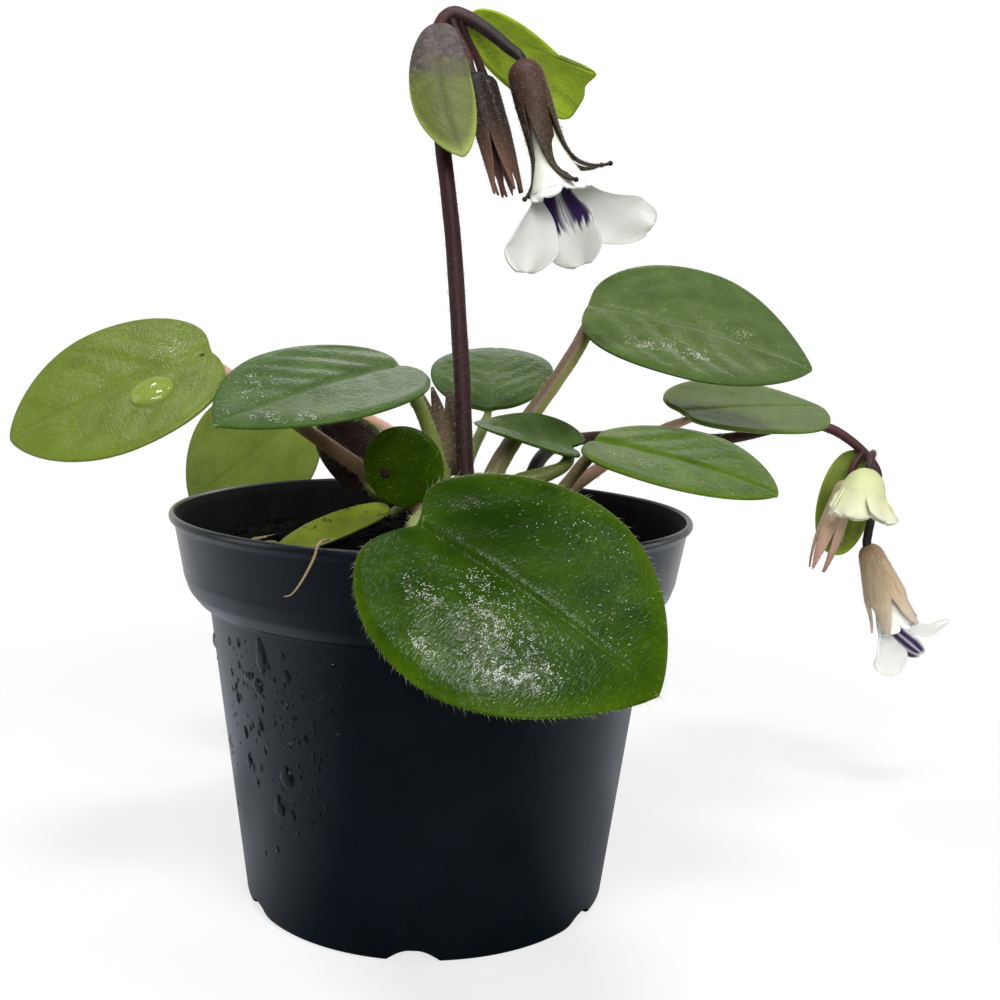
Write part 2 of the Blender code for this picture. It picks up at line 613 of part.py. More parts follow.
def make_bracts():
    """Leafy bracts at the top of the main stalk and on the second one."""
    Leaf("bract_left", (-2.0, -8.3, 167.8), -56, -69, 36, 26, 11, cup=-0.2, arch=0.0, tip=1.1,
         shoulder=0.8, lobe=0.0, colour=BRACT_GREEN, thickness=YOUNG_LEAF_THICKNESS, columns=20).build()
    Leaf("bract_right", (4.2, -4.3, 170.2), 36, -26, -72, 29, 11, cup=-0.2, arch=0.1, tip=0.5,
         shoulder=0.8, lobe=0.0, colour=BRACT_GREEN, thickness=YOUNG_LEAF_THICKNESS, columns=20).build()
    Leaf("bract_second", (102.0, 52.9, 86.0), 180, -80, -90, 26, 13.6, cup=-0.1, arch=0.0, tip=0.9,
         shoulder=0.8, lobe=0.0, colour=BRACT_GREEN, thickness=YOUNG_LEAF_THICKNESS, columns=20).build()


def make_second_scape():
    """Lower flower stalk: it passes behind the leaves and nods to the right of the pot."""
    start = crown_side(25, 76.4, GAP + 1.1) * 1000.0
    stations = [tuple(start), (18.2, 7.4, 78.5), (22.4, 18.0, 86.0), (30.0, 30.0, 88.8), (46.9, 41.0, 89.2),
                (68.9, 51.5, 88.2), (86.1, 53.0, 92.0), (93.9, 52.0, 91.4), (100.7, 51.0, 87.5),
                (105.6, 50.0, 82.0), (105.7, 49.0, 77.0), (104.6, 48.2, 70.0), LOW_FLOWER_TOP]
    main = stalk("scape_long", stations, 1.5, 1.0, MAROON)
    bud = stalk("scape_bud", [(102.6, 50.8, 86.0), (101.0, 49.4, 84.4), (99.6, 48.7, 82.4), BUD_TOP],
                0.85, 0.85, MAROON)
    cream = stalk("scape_cream", [(104.4, 50.3, 84.2), (103.4, 46.4, 86.0), (101.4, 41.0, 86.2), CREAM_TOP],
                  0.8, 0.8, MAROON)
    fuse("scape_low", [main, bud, cream], MAROON)


def make_second_flowers():
    Bloom("calyx_low", along(LOW_FLOWER_TOP, LOW_AXIS, FLOWER_SEAT), LOW_AXIS, 13.0, (2.3, 4.8),
          sepals(8.0, (6, 6, 8, 12, 12), 2.2), BEIGE, tube_rows=4, lobe_rows=4).build()
    lobes = [(90, 10.0, 16, 3.6, -50, 0), (162, 11.0, 10, 3.6, 20, 80), (234, 1.5, 20, 2.4, 0, 0),
             (306, 1.5, 20, 2.4, 0, 0), (18, 12.0, 62, 3.4, 0, -60)]
    Bloom("corolla_low", along(LOW_FLOWER_TOP, LOW_AXIS, FLOWER_SEAT + 3.0), LOW_AXIS, 17.0, (1.2, 4.0),
          lobes, PETAL_WHITE, petals=True, closed=False, swell=1.5, columns=4, lobe_rows=4).build()
    Bloom("calyx_bud", along(BUD_TOP, BUD_AXIS, FLOWER_SEAT), BUD_AXIS, 11.0, (2.2, 2.9),
          sepals(11.5, (-3, -6, 0, -5, -3), 1.7), PETIOLE_PINK).build()
    petals = [(18 + 72 * index, 7.8, 20, 4.9, 0, 0) for index in range(5)]
    Bloom("corolla_cream", along(CREAM_TOP, CREAM_AXIS, FLOWER_SEAT), CREAM_AXIS, 5.5, (3.2, 5.0),
          petals, PETAL_WHITE, petals=True, columns=4, lobe_rows=4).build()


def make_root_fibre():
    """Dry root that hangs over the lip at the front."""
    skin = LIP_RADIUS + GAP + 0.45
    stations = [(-17.0, -44.6, 78.3), (-18.0, -47.2, 78.4), (-18.6, -48.2, 77.6), (-19.2, -48.3, 75.6),
                (-21.0, -47.3, 72.0), (-22.8, -46.2, 69.4), (-24.2, -45.6, 68.8)]
    stalk("root_fibre", [(x, -math.sqrt(skin ** 2 - x * x) if z < 78 else y, z) for x, y, z in stations],
          0.35, 0.3, ROOT_TAN, per_span=1)


make_pot()
make_soil()
make_crown()
make_leaves()
make_bud_cluster()
make_main_scape()
make_open_flower()
make_closed_calyxes()
make_bracts()
make_second_scape()
make_second_flowers()
make_root_fibre()
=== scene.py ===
# %% [markdown]
# # A potted chirita
# This small violet-like house plant has furry leaves, dark flower stalks and white blooms, and it grows in
# a black nursery pot. The solids already say where every leaf, stalk and flower stands. So this lesson
# only dresses them: a finer piece of the same form stands for each solid, with its own finish.

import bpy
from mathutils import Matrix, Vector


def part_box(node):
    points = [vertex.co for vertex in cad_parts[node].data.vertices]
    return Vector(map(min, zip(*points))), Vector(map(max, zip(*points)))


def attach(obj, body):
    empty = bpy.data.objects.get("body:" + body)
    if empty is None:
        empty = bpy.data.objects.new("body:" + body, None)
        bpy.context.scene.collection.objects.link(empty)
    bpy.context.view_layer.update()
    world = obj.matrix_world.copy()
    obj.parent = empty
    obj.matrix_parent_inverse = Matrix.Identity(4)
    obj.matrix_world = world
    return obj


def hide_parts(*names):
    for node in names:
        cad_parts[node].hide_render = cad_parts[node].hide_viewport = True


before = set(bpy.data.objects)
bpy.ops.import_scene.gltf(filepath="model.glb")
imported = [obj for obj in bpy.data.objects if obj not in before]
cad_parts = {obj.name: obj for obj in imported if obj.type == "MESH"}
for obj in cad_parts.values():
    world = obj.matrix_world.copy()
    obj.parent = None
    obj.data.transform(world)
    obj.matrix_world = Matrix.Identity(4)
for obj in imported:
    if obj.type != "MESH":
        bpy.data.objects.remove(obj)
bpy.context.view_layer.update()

# %% [markdown]
# ## Units and directions
# Blender counts in metres, but leaves are easier to think about in millimetres. Two small helpers turn
# lengths and places into metres. A heading is a direction on the floor, from +X towards +Y.

# %% Units and directions
import math
import random

import bmesh
import bpy
from mathutils import Matrix, Vector, noise


def mm(length):
    return length * 0.001


def point(x, y, z):
    return Vector((mm(x), mm(y), mm(z)))


def heading_vector(heading, elevation=0.0):
    """Unit vector at a heading on the floor and an elevation above it, both in degrees."""
    a, e = math.radians(heading), math.radians(elevation)
    return Vector((math.cos(e) * math.cos(a), math.cos(e) * math.sin(a), math.sin(e)))


print("one leaf thickness is", mm(1.2), "m")

# %% [markdown]
# ## The camera
# The picture was taken from just above the plant's leaves, a quarter of a metre away, with the camera
# turned a little. Its place and angles were found by fitting the pot's rim and foot. Blender wants a matrix
# whose columns are the camera's right, up and back, so these three are worked out from the angles.

# %% Camera
CAMERA_PLACE = (0.0, -257.24, 114.92)
CAMERA_YAW = 0.0509           # radians, to the right of +Y
CAMERA_PITCH = 0.1374         # radians, below the horizon
CAMERA_ROLL = 0.0301
FOCAL_PIXELS = 1309.6         # focal length in pixels of a frame 1000 pixels wide
SENSOR_WIDTH = 36.0


def add_camera():
    level = math.cos(CAMERA_PITCH)
    ahead = Vector((math.sin(CAMERA_YAW) * level, math.cos(CAMERA_YAW) * level, -math.sin(CAMERA_PITCH)))
    right = Vector((math.cos(CAMERA_YAW), -math.sin(CAMERA_YAW), 0.0))
    up = right.cross(ahead)
    turned_right = right * math.cos(CAMERA_ROLL) + up * math.sin(CAMERA_ROLL)
    turned_up = up * math.cos(CAMERA_ROLL) - right * math.sin(CAMERA_ROLL)
    lens = bpy.data.cameras.new("camera")
    lens.sensor_width = SENSOR_WIDTH
    lens.lens = FOCAL_PIXELS / 1000.0 * SENSOR_WIDTH
    lens.clip_start = 0.01
    camera = bpy.data.objects.new("camera", lens)
    matrix = Matrix((turned_right, turned_up, -ahead)).transposed().to_4x4()
    matrix.translation = point(*CAMERA_PLACE)
    camera.matrix_world = matrix
    bpy.context.scene.collection.objects.link(camera)
    bpy.context.scene.camera = camera
    return camera


print("camera lens", round(add_camera().data.lens, 1), "mm")

# %% [markdown]
# ## Nodes with less typing
# A finish is a small graph of shader nodes. One helper adds a node, sets its options and fills its inputs,
# either with a value or with a link from another node. The others name the patterns that come back often.

# %% Nodes and places
def add(tree, kind, inputs=None, **options):
    """Adds a node. An input is filled with a value, or linked if a socket is given."""
    made = tree.nodes.new("ShaderNode" + kind)
    for option, value in options.items():
        setattr(made, option, value)
    for socket, value in (inputs or {}).items():
        if isinstance(value, bpy.types.NodeSocket):
            tree.links.new(value, made.inputs[socket])
        else:
            made.inputs[socket].default_value = value
    return made


def object_place(tree):
    return add(tree, "TexCoord").outputs["Object"]


def surface_place(tree):
    return add(tree, "UVMap", uv_map="UVMap").outputs["UV"]


def value_of(tree, name):
    """A number that the mesh carries at each of its points."""
    return add(tree, "Attribute", attribute_name=name).outputs["Fac"]


def noise_of(tree, place, scale, detail=3.0, roughness=0.5):
    inputs = {"Vector": place, "Scale": scale, "Detail": detail, "Roughness": roughness}
    return add(tree, "TexNoise", inputs).outputs["Fac"]


def stretched(tree, place, scale, turn=0.0):
    inputs = {"Vector": place, "Scale": scale, "Rotation": (0.0, 0.0, math.radians(turn))}
    return add(tree, "Mapping", inputs).outputs["Vector"]


print("nodes and places ready")

# %% Values and colours
def ramp(tree, value, *stops):
    """Colours along a value: each stop is (place, colour)."""
    made = add(tree, "ValToRGB", {"Fac": value})
    elements = made.color_ramp.elements
    while len(elements) < len(stops):
        elements.new(0.5)
    for element, (place, colour) in zip(elements, stops):
        element.position = place
        element.color = (*colour, 1.0)
    return made.outputs["Color"]


def levels(tree, value, low, high, to_low=0.0, to_high=1.0):
    inputs = {"Value": value, "From Min": low, "From Max": high, "To Min": to_low, "To Max": to_high}
    return add(tree, "MapRange", inputs).outputs["Result"]


def calculate(tree, operation, first, second):
    return add(tree, "Math", {0: first, 1: second}, operation=operation).outputs[0]


def mixed(tree, share, first, second):
    """The first colour, with a share of the second laid over it."""
    made = add(tree, "Mix", {0: share}, data_type="RGBA")
    for socket, value in ((6, first), (7, second)):
        if isinstance(value, bpy.types.NodeSocket):
            tree.links.new(value, made.inputs[socket])
        else:
            made.inputs[socket].default_value = (*value, 1.0)
    return made.outputs[2]


print("values and colours ready")

# %% Relief and finish
def bumped(tree, height, depth, under=None):
    """Relief from a height pattern; depth is in millimetres, and under is a coarser relief."""
    inputs = {"Height": height, "Distance": mm(depth), "Strength": 1.0}
    if under is not None:
        inputs["Normal"] = under
    return add(tree, "Bump", inputs).outputs["Normal"]


def new_finish(name, roughness=0.5, **values):
    """A Principled finish; values are its sockets' own numbers, with _ for a space."""
    made = bpy.data.materials.new(name)
    made.use_nodes = True
    shader = made.node_tree.nodes["Principled BSDF"]
    shader.inputs["Roughness"].default_value = roughness
    for socket, value in values.items():
        shader.inputs[socket.replace("_", " ")].default_value = value
    return made, made.node_tree, shader


def wire(tree, shader, colour, normal=None, roughness=None):
    for socket, source in (("Base Color", colour), ("Normal", normal), ("Roughness", roughness)):
        if source is not None:
            tree.links.new(source, shader.inputs[socket])


print("relief and finish ready")

# %% [markdown]
# ## Floor and light
# The plant stands on a plain pale floor in front of a bright wall. The wall is the world's own colour:
# bright behind the plant, and dim high up and on the camera's side, so that the pot's front stays dark
# while its flanks catch a grey sheen. A part of the floor's look is its own light, which thins the shadow
# as bright paper does, and it fades out round the plant, so no horizon shows. In the pot's sheen the floor
# is dark in front and bright beside and behind the pot, as if a black card lay before it. One lamp could
# do, but seven soft boxes model the leaves better: the one overhead gives the wet shine, the large one in
# front opens the shadows, and the rest draw a thin light along the edges.

# %% Floor
FLOOR_RADIUS = 0.42           # metres; the floor has melted into the bright wall before its edge
FLOOR_FADE = (0.13, 0.36)     # metres from the pot's axis where the fading starts and ends
FLOOR_FRONT = (0.030, 0.044, 0.058)         # how the floor in front looks in the pot's sheen
FLOOR_SIDE = (0.52, 0.56, 0.62)             # and how it looks beside and behind the pot
FLOOR_LEFT, FLOOR_RIGHT = (-0.62, -1.80), (0.70, 2.10)     # radians round the pot, from front to side
FLOOR_GLOW = 0.75             # share of the floor's look that is its own light


def add_floor():
    bm = bmesh.new()
    bmesh.ops.create_circle(bm, cap_ends=True, segments=64, radius=FLOOR_RADIUS)
    mesh = bpy.data.meshes.new("floor")
    bm.to_mesh(mesh)
    bm.free()
    floor = bpy.data.objects.new("floor", mesh)
    bpy.context.scene.collection.objects.link(floor)
    finish, tree, shader = new_finish("floor_paper", 0.9, Specular_IOR_Level=0.1)
    place = object_place(tree)
    tone = noise_of(tree, place, 3.0)
    wire(tree, shader, ramp(tree, tone, (0.3, (0.90, 0.90, 0.90)), (0.7, (0.93, 0.93, 0.93))))
    parts = add(tree, "SeparateXYZ", {"Vector": place}).outputs
    ahead = calculate(tree, "MULTIPLY", parts["Y"], -1.0)
    round_pot = calculate(tree, "ARCTAN2", parts["X"], ahead)
    left_side = levels(tree, round_pot, *FLOOR_LEFT)
    right_side = levels(tree, round_pot, *FLOOR_RIGHT)
    aside = calculate(tree, "MAXIMUM", left_side, right_side)
    grey = ramp(tree, aside, (0.0, FLOOR_FRONT), (1.0, FLOOR_SIDE))
    dim = add(tree, "BsdfDiffuse", {"Color": grey})
    mirrored = add(tree, "LightPath").outputs["Is Glossy Ray"]
    glowing = add(tree, "Emission", {"Color": (1.0, 1.0, 1.0, 1.0), "Strength": 0.97})
    seen = calculate(tree, "MULTIPLY", add(tree, "LightPath").outputs["Is Camera Ray"], FLOOR_GLOW)
    paper = add(tree, "MixShader", {0: seen, 1: shader.outputs[0], 2: glowing.outputs[0]})
    lit = add(tree, "MixShader", {0: mirrored, 1: paper.outputs[0], 2: dim.outputs[0]})
    distance = add(tree, "VectorMath", {0: place}, operation="LENGTH").outputs["Value"]
    gone = add(tree, "MapRange", {"Value": distance, "From Min": FLOOR_FADE[0], "From Max": FLOOR_FADE[1]},
               interpolation_type="SMOOTHSTEP").outputs["Result"]
    clear = add(tree, "BsdfTransparent")
    faded = add(tree, "MixShader", {0: gone, 1: lit.outputs[0], 2: clear.outputs[0]})
    tree.links.new(faded.outputs[0], tree.nodes["Material Output"].inputs["Surface"])
    mesh.materials.append(finish)
    return floor


add_floor()
print("floor radius", FLOOR_RADIUS, "m")

# %% World
WALL_BRIGHT = 1.05            # how bright the wall looks
WALL_LIT = 0.85               # what the wall gives as light
WALL_DIM = 0.03               # the room behind the camera
WALL_TOP = 0.20               # share of the wall's light that is left high up


def light_world():
    world = bpy.data.worlds.new("bright_wall")
    bpy.context.scene.world = world
    world.use_nodes = True
    tree = world.node_tree
    tree.nodes.clear()
    direction = add(tree, "TexCoord").outputs["Generated"]
    parts = add(tree, "SeparateXYZ", {"Vector": direction}).outputs
    low = levels(tree, parts["Z"], 0.60, 0.92, 1.0, WALL_TOP)
    room = calculate(tree, "MULTIPLY", levels(tree, parts["Y"], 0.05, 0.85, WALL_DIM, WALL_LIT), low)
    seen = add(tree, "LightPath").outputs["Is Camera Ray"]
    lit = add(tree, "Background", {"Color": (1.0, 1.0, 1.0, 1.0), "Strength": room})
    shown = add(tree, "Background", {"Color": (1.0, 1.0, 1.0, 1.0), "Strength": WALL_BRIGHT})
    both = add(tree, "MixShader", {0: seen, 1: lit.outputs[0], 2: shown.outputs[0]})
    add(tree, "OutputWorld", {"Surface": both.outputs[0]})


light_world()
print("wall shown at", WALL_BRIGHT)

# %% Soft boxes
SOFT_BOXES = [                # name, place, what it points at, width, height in metres, and watts
    ("soft_box_above", (0.0, -0.31, 0.82), (0.0, -0.04, 0.08), 0.20, 0.12, 4.4),
    ("soft_box_front", (0.12, -0.75, 0.42), (0.0, 0.0, 0.14), 0.5, 0.3, 4.6),
    ("soft_box_back", (0.12, 0.62, 0.50), (0.0, 0.0, 0.10), 0.55, 0.14, 0.55),
    ("soft_box_far_left", (-0.30, 0.13, 0.75), (-0.06, 0.0, 0.10), 0.12, 0.12, 0.7),
    ("soft_box_far_right", (0.28, -0.06, 0.80), (0.02, -0.03, 0.08), 0.16, 0.10, 0.7),
    ("soft_box_left", (-0.70, -0.10, 0.25), (0.0, 0.0, 0.05), 0.35, 0.6, 1.0),
    ("soft_box_right", (0.70, 0.12, 0.25), (0.0, 0.0, 0.05), 0.30, 0.6, 0.8),
]


def add_soft_box(name, place, target, width, height, watts):
    lamp = bpy.data.lights.new(name, "AREA")
    lamp.shape = "RECTANGLE"
    lamp.size = width
    lamp.size_y = height
    lamp.energy = watts
    box = bpy.data.objects.new(name, lamp)
    box.location = place
    box.rotation_euler = (Vector(target) - Vector(place)).to_track_quat("-Z", "Y").to_euler()
    bpy.context.scene.collection.objects.link(box)


for soft_box in SOFT_BOXES:
    add_soft_box(*soft_box)
bpy.context.scene.view_settings.view_transform = "Standard"
print(len(SOFT_BOXES), "soft boxes")

# %% [markdown]
# ## Making and riding a piece
# Every piece is made the same way: a bmesh becomes a mesh, the mesh an object, and the object rides on the
# pot's body, takes its finishes, and hides the solid that it stands for. Two more helpers repeat a small
# shape many times in one mesh, and gather parts that are one piece.

# %% Piece helper
def add_piece(name, bm, finishes, replaced=None):
    mesh = bpy.data.meshes.new(name)
    bm.to_mesh(mesh)
    bm.free()
    mesh.shade_smooth()
    for finish in finishes:
        mesh.materials.append(finish)
    piece = bpy.data.objects.new(name, mesh)
    bpy.context.scene.collection.objects.link(piece)
    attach(piece, "root")
    if replaced:
        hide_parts(replaced)
    return piece


def copies(bm, count):
    """Repeats what the bmesh holds until there are count copies, and returns each copy's points."""
    template = bpy.data.meshes.new("template")
    bm.to_mesh(template)
    bm.clear()
    bm.from_mesh(template)
    bpy.data.meshes.remove(template)
    each = len(bm.verts)
    while len(bm.verts) < each * count:
        bmesh.ops.duplicate(bm, geom=bm.verts[:] + bm.edges[:] + bm.faces[:])
    bm.verts.ensure_lookup_table()
    bmesh.ops.delete(bm, geom=bm.verts[each * count:], context="VERTS")
    bm.verts.ensure_lookup_table()
    return [bm.verts[start:start + each] for start in range(0, each * count, each)]


def gathered(parts):
    """One bmesh that holds all the parts; each part is used up."""
    whole = bmesh.new()
    for part in parts:
        sheet = bpy.data.meshes.new("part")
        part.to_mesh(sheet)
        part.free()
        whole.from_mesh(sheet)
        bpy.data.meshes.remove(sheet)
    return whole


print("piece helpers ready")

# %% [markdown]
# ## Hairs
# Nearly everything on this plant is hairy. A hair is a slim three-sided spike: one cone is duplicated as
# often as needed and each copy is moved to its own root and tip. Real geometry keeps the fringe in every
# view, which a bump pattern can't do at the edge of a leaf.

# %% Hairs
def hair_finish(name, colour, pale):
    finish, tree, shader = new_finish(name, 0.42, Specular_IOR_Level=0.5)
    tone = noise_of(tree, object_place(tree), 900.0)
    wire(tree, shader, ramp(tree, tone, (0.35, colour), (0.65, pale)))
    return finish


SILVER_HAIR = hair_finish("silver_hair", (0.34, 0.42, 0.16), (0.66, 0.70, 0.44))
GREY_HAIR = hair_finish("grey_hair", (0.18, 0.12, 0.09), (0.42, 0.34, 0.27))
# near-white stubs whose colour is a painted highlight on the wet fur
GLINT = hair_finish("glint", (0.85, 0.90, 0.80), (1.0, 1.0, 1.0))


def hairs(name, stems, radius, finish):
    """One piece of spikes; each stem is (root, tip), in metres, and the radius is in millimetres."""
    bm = bmesh.new()
    bmesh.ops.create_cone(bm, cap_ends=True, segments=3, radius1=1.0, radius2=0.0, depth=2.0)
    bmesh.ops.remove_doubles(bm, verts=bm.verts, dist=0.001)
    for (root, tip), corners in zip(stems, copies(bm, len(stems))):
        turn = (tip - root).to_track_quat("Z", "Y")
        for corner in corners:
            if corner.co.z > 0.0:
                corner.co = tip
            else:
                corner.co = root + turn @ Vector((corner.co.x, corner.co.y, 0.0)) * mm(radius)
    return add_piece(name, bm, [finish])


print("hair finishes", SILVER_HAIR.name, GREY_HAIR.name, GLINT.name)

# %% Hairs scattered on a piece
def scattered(piece, count, length, seed, lift=1.0, lean=None, sink=0.0, both=False, keep=None):
    """Stems on a piece's faces. Lift stands them up, lean(place) gives the way that they lie."""
    draw = random.Random(seed)
    mesh = piece.data
    faces = [face for face in mesh.polygons if keep is None or keep(face.center)]
    stems = []
    for face in draw.choices(faces, weights=[face.area for face in faces], k=count):
        weights = [draw.random() for _ in face.vertices]
        root = Vector()
        for corner, weight in zip(face.vertices, weights):
            root += mesh.vertices[corner].co * (weight / sum(weights))
        side = draw.choice((-1.0, 1.0)) if both else 1.0
        way = face.normal * side * lift
        way += Vector([draw.uniform(-0.4, 0.4) for _ in range(3)])
        if lean is not None:
            way += lean(root)
        start = root + face.normal * side * mm(sink)
        stems.append((start, start + way.normalized() * mm(length * draw.uniform(0.55, 1.15))))
    return stems


print("hairs can be scattered")

# %% [markdown]
# ## The pot's plastic
# A nursery pot is thin black plastic with a faint blue cast, a soft sheen and the fine ripple of a cheap
# mould. The ripple is two bumps, one broad and one fine, and the sheen wanders a little with the noise. A
# few pale specks of dust are mixed in. The inner wall has a finish of its own, rough, hardly shiny and
# without the blue, which is painted shade inside the pot.

# %% Pot plastic
def pot_finish():
    finish, tree, shader = new_finish("pot_plastic_black", 0.36, Specular_IOR_Level=0.5)
    place = object_place(tree)
    tone = noise_of(tree, place, 60.0, 4.0)
    dust = levels(tree, noise_of(tree, place, 1500.0, 2.0), 0.70, 0.80)
    body = ramp(tree, tone, (0.35, (0.0022, 0.0038, 0.0064)), (0.7, (0.0038, 0.0062, 0.0100)))
    body = mixed(tree, calculate(tree, "MULTIPLY", dust, 0.20), body, (0.10, 0.11, 0.12))
    broad = bumped(tree, noise_of(tree, place, 45.0, 2.0), 0.25)
    fine = bumped(tree, noise_of(tree, place, 1300.0, 3.0), 0.010, broad)
    sheen = levels(tree, noise_of(tree, place, 25.0, 4.0), 0.3, 0.7, 0.23, 0.32)
    wire(tree, shader, body, fine, sheen)
    return finish


def pot_inside_finish():
    """The inner wall is rough and hardly shiny, a finish that paints the shade inside the pot."""
    finish, tree, shader = new_finish("pot_plastic_inside_painted_shade", 0.75, Specular_IOR_Level=0.12)
    tone = noise_of(tree, object_place(tree), 220.0, 4.0, 0.6)
    wire(tree, shader, ramp(tree, tone, (0.45, (0.0018, 0.0022, 0.0022)), (0.75, (0.005, 0.0055, 0.0045))))
    return finish


POT_PLASTIC = pot_finish()
print("pot plastic", POT_PLASTIC.name)

# %% [markdown]
# ## The pot
# The pot is turned: a profile runs from the axis up the inside, over the lip and down the outside, and a
# spin carries it round. Its corners are rounded before the spin, which costs less than a bevel after it.
# The drain notches round the foot are short drums taken out with a Boolean.

# %% Pot profile
POT_LOW, POT_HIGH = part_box("pot")
POT_HEIGHT = POT_HIGH.z * 1000.0
LIP_RADIUS = (POT_HIGH.x - POT_LOW.x) * 500.0
LIP_HEIGHT = 1.5
WALL = 1.2
COLLAR_TOP = (50.0, POT_HEIGHT - 2.1)
COLLAR_FOOT = (48.3, 65.5)
STEP = (45.4, 60.2)
BODY_TOP = (43.4, 59.4)
BASE_RADIUS = 35.6
PROFILE_ROUND = 0.5           # radius of the profile's rounded corners
POT_STEPS = 216


def rounded(profile, radius, points=3):
    """The profile with each inner corner replaced by a short curve."""
    smooth = [Vector(profile[0])]
    for before, corner, after in zip(profile, profile[1:], profile[2:]):
        corner = Vector(corner)
        ways = [Vector(before) - corner, Vector(after) - corner]
        start, end = [corner + way.normalized() * min(radius, way.length * 0.45) for way in ways]
        for step in range(points + 1):
            t = step / points
            smooth.append(start * (1 - t) ** 2 + corner * 2 * t * (1 - t) + end * t * t)
    smooth.append(Vector(profile[-1]))
    return smooth


def spun(profile, steps):
    """A profile of (radius, height) points carried round the Z axis."""
    bm = bmesh.new()
    verts = [bm.verts.new((mm(radius), 0.0, mm(height))) for radius, height in profile]
    edges = [bm.edges.new(pair) for pair in zip(verts, verts[1:])]
    bmesh.ops.spin(bm, geom=verts + edges, cent=(0, 0, 0), axis=(0, 0, 1), angle=math.tau, steps=steps,
                   use_merge=True)
    bmesh.ops.remove_doubles(bm, verts=bm.verts, dist=mm(0.004))
    bmesh.ops.recalc_face_normals(bm, faces=bm.faces)
    return bm


INSIDE = [(0.0, 1.4), (34.6, 1.4), (BODY_TOP[0] - WALL, 60.2), (45.0, 61.4),
          (COLLAR_FOOT[0] - WALL, 65.9), (COLLAR_TOP[0] - WALL, COLLAR_TOP[1]),
          (LIP_RADIUS - WALL, POT_HEIGHT - 0.3)]
OUTSIDE = [(LIP_RADIUS - 0.55, POT_HEIGHT), (LIP_RADIUS, POT_HEIGHT - 0.5),
           (LIP_RADIUS, POT_HEIGHT - LIP_HEIGHT), COLLAR_TOP, (COLLAR_FOOT[0] + 0.1, 66.4),
           COLLAR_FOOT, (47.3, 62.6), STEP, BODY_TOP, (BASE_RADIUS + 0.3, 1.2), (BASE_RADIUS - 0.6, 0.0),
           (0.0, 0.0)]
print("pot", round(POT_HEIGHT, 1), "mm high, lip radius", round(LIP_RADIUS, 1), "mm")

# %% Pot with its notches
NOTCH_COUNT, NOTCH_HEADING = 6, -93.0
NOTCH_WIDTH, NOTCH_RISE, NOTCH_REACH = 10.0, 2.6, 4.5


def apply_modifiers(piece):
    bpy.context.view_layer.update()
    seen = piece.evaluated_get(bpy.context.evaluated_depsgraph_get())
    mesh = bpy.data.meshes.new_from_object(seen)
    piece.modifiers.clear()
    piece.data = mesh


def notch_drum(heading):
    """A short drum that lies across the foot; its rise and width fix its radius."""
    radius = (NOTCH_WIDTH ** 2 / 4 + NOTCH_RISE ** 2) / (2 * NOTCH_RISE)
    bm = bmesh.new()
    bmesh.ops.create_cone(bm, cap_ends=True, segments=96, radius1=mm(radius), radius2=mm(radius),
                          depth=mm(2 * NOTCH_REACH))
    mesh = bpy.data.meshes.new("notch_drum")
    bm.to_mesh(mesh)
    bm.free()
    drum = bpy.data.objects.new("notch_drum", mesh)
    place = heading_vector(heading) * mm(BASE_RADIUS) + point(0, 0, NOTCH_RISE - radius)
    turn = Matrix.Rotation(math.radians(heading), 4, "Z") @ Matrix.Rotation(math.radians(90), 4, "Y")
    drum.matrix_world = Matrix.Translation(place) @ turn
    bpy.context.scene.collection.objects.link(drum)
    return drum


def make_pot():
    pot = add_piece("pot_shell", spun(rounded(INSIDE + OUTSIDE, PROFILE_ROUND), POT_STEPS), [POT_PLASTIC],
                    "pot")
    drums = [notch_drum(NOTCH_HEADING + index * 360.0 / NOTCH_COUNT) for index in range(NOTCH_COUNT)]
    for drum in drums:
        cut = pot.modifiers.new("notch", "BOOLEAN")
        cut.operation = "DIFFERENCE"
        cut.solver = "EXACT"
        cut.object = drum
    apply_modifiers(pot)
    for drum in drums:
        bpy.data.objects.remove(drum, do_unlink=True)
    pot.data.shade_smooth()
    pot.data.set_sharp_from_angle(angle=math.radians(35))
    pot.data.materials.append(pot_inside_finish())
    # the inner faces below the lip take the finish that paints the shade inside the pot
    for face in pot.data.polygons:
        if face.normal.xy.dot(face.center.xy) < 0.0 and face.center.z < mm(POT_HEIGHT - 0.4):
            face.material_index = 1
    return pot


print("pot faces", len(make_pot().data.polygons))

# %% [markdown]
# ## Water drops on the pot
# The plant has just been watered, so the pot's left flank is covered in drops that have started to run.
# Each drop is a flattened ball pulled down into a tear. The large ones are listed one by one and the many
# small ones are drawn at random round them.

# %% Water
def water_finish():
    finish, tree, shader = new_finish("water", 0.03, IOR=1.33, Transmission_Weight=1.0)
    tone = noise_of(tree, object_place(tree), 400.0)
    wire(tree, shader, ramp(tree, tone, (0.0, (0.90, 0.93, 0.95)), (1.0, (1.0, 1.0, 1.0))))
    return finish


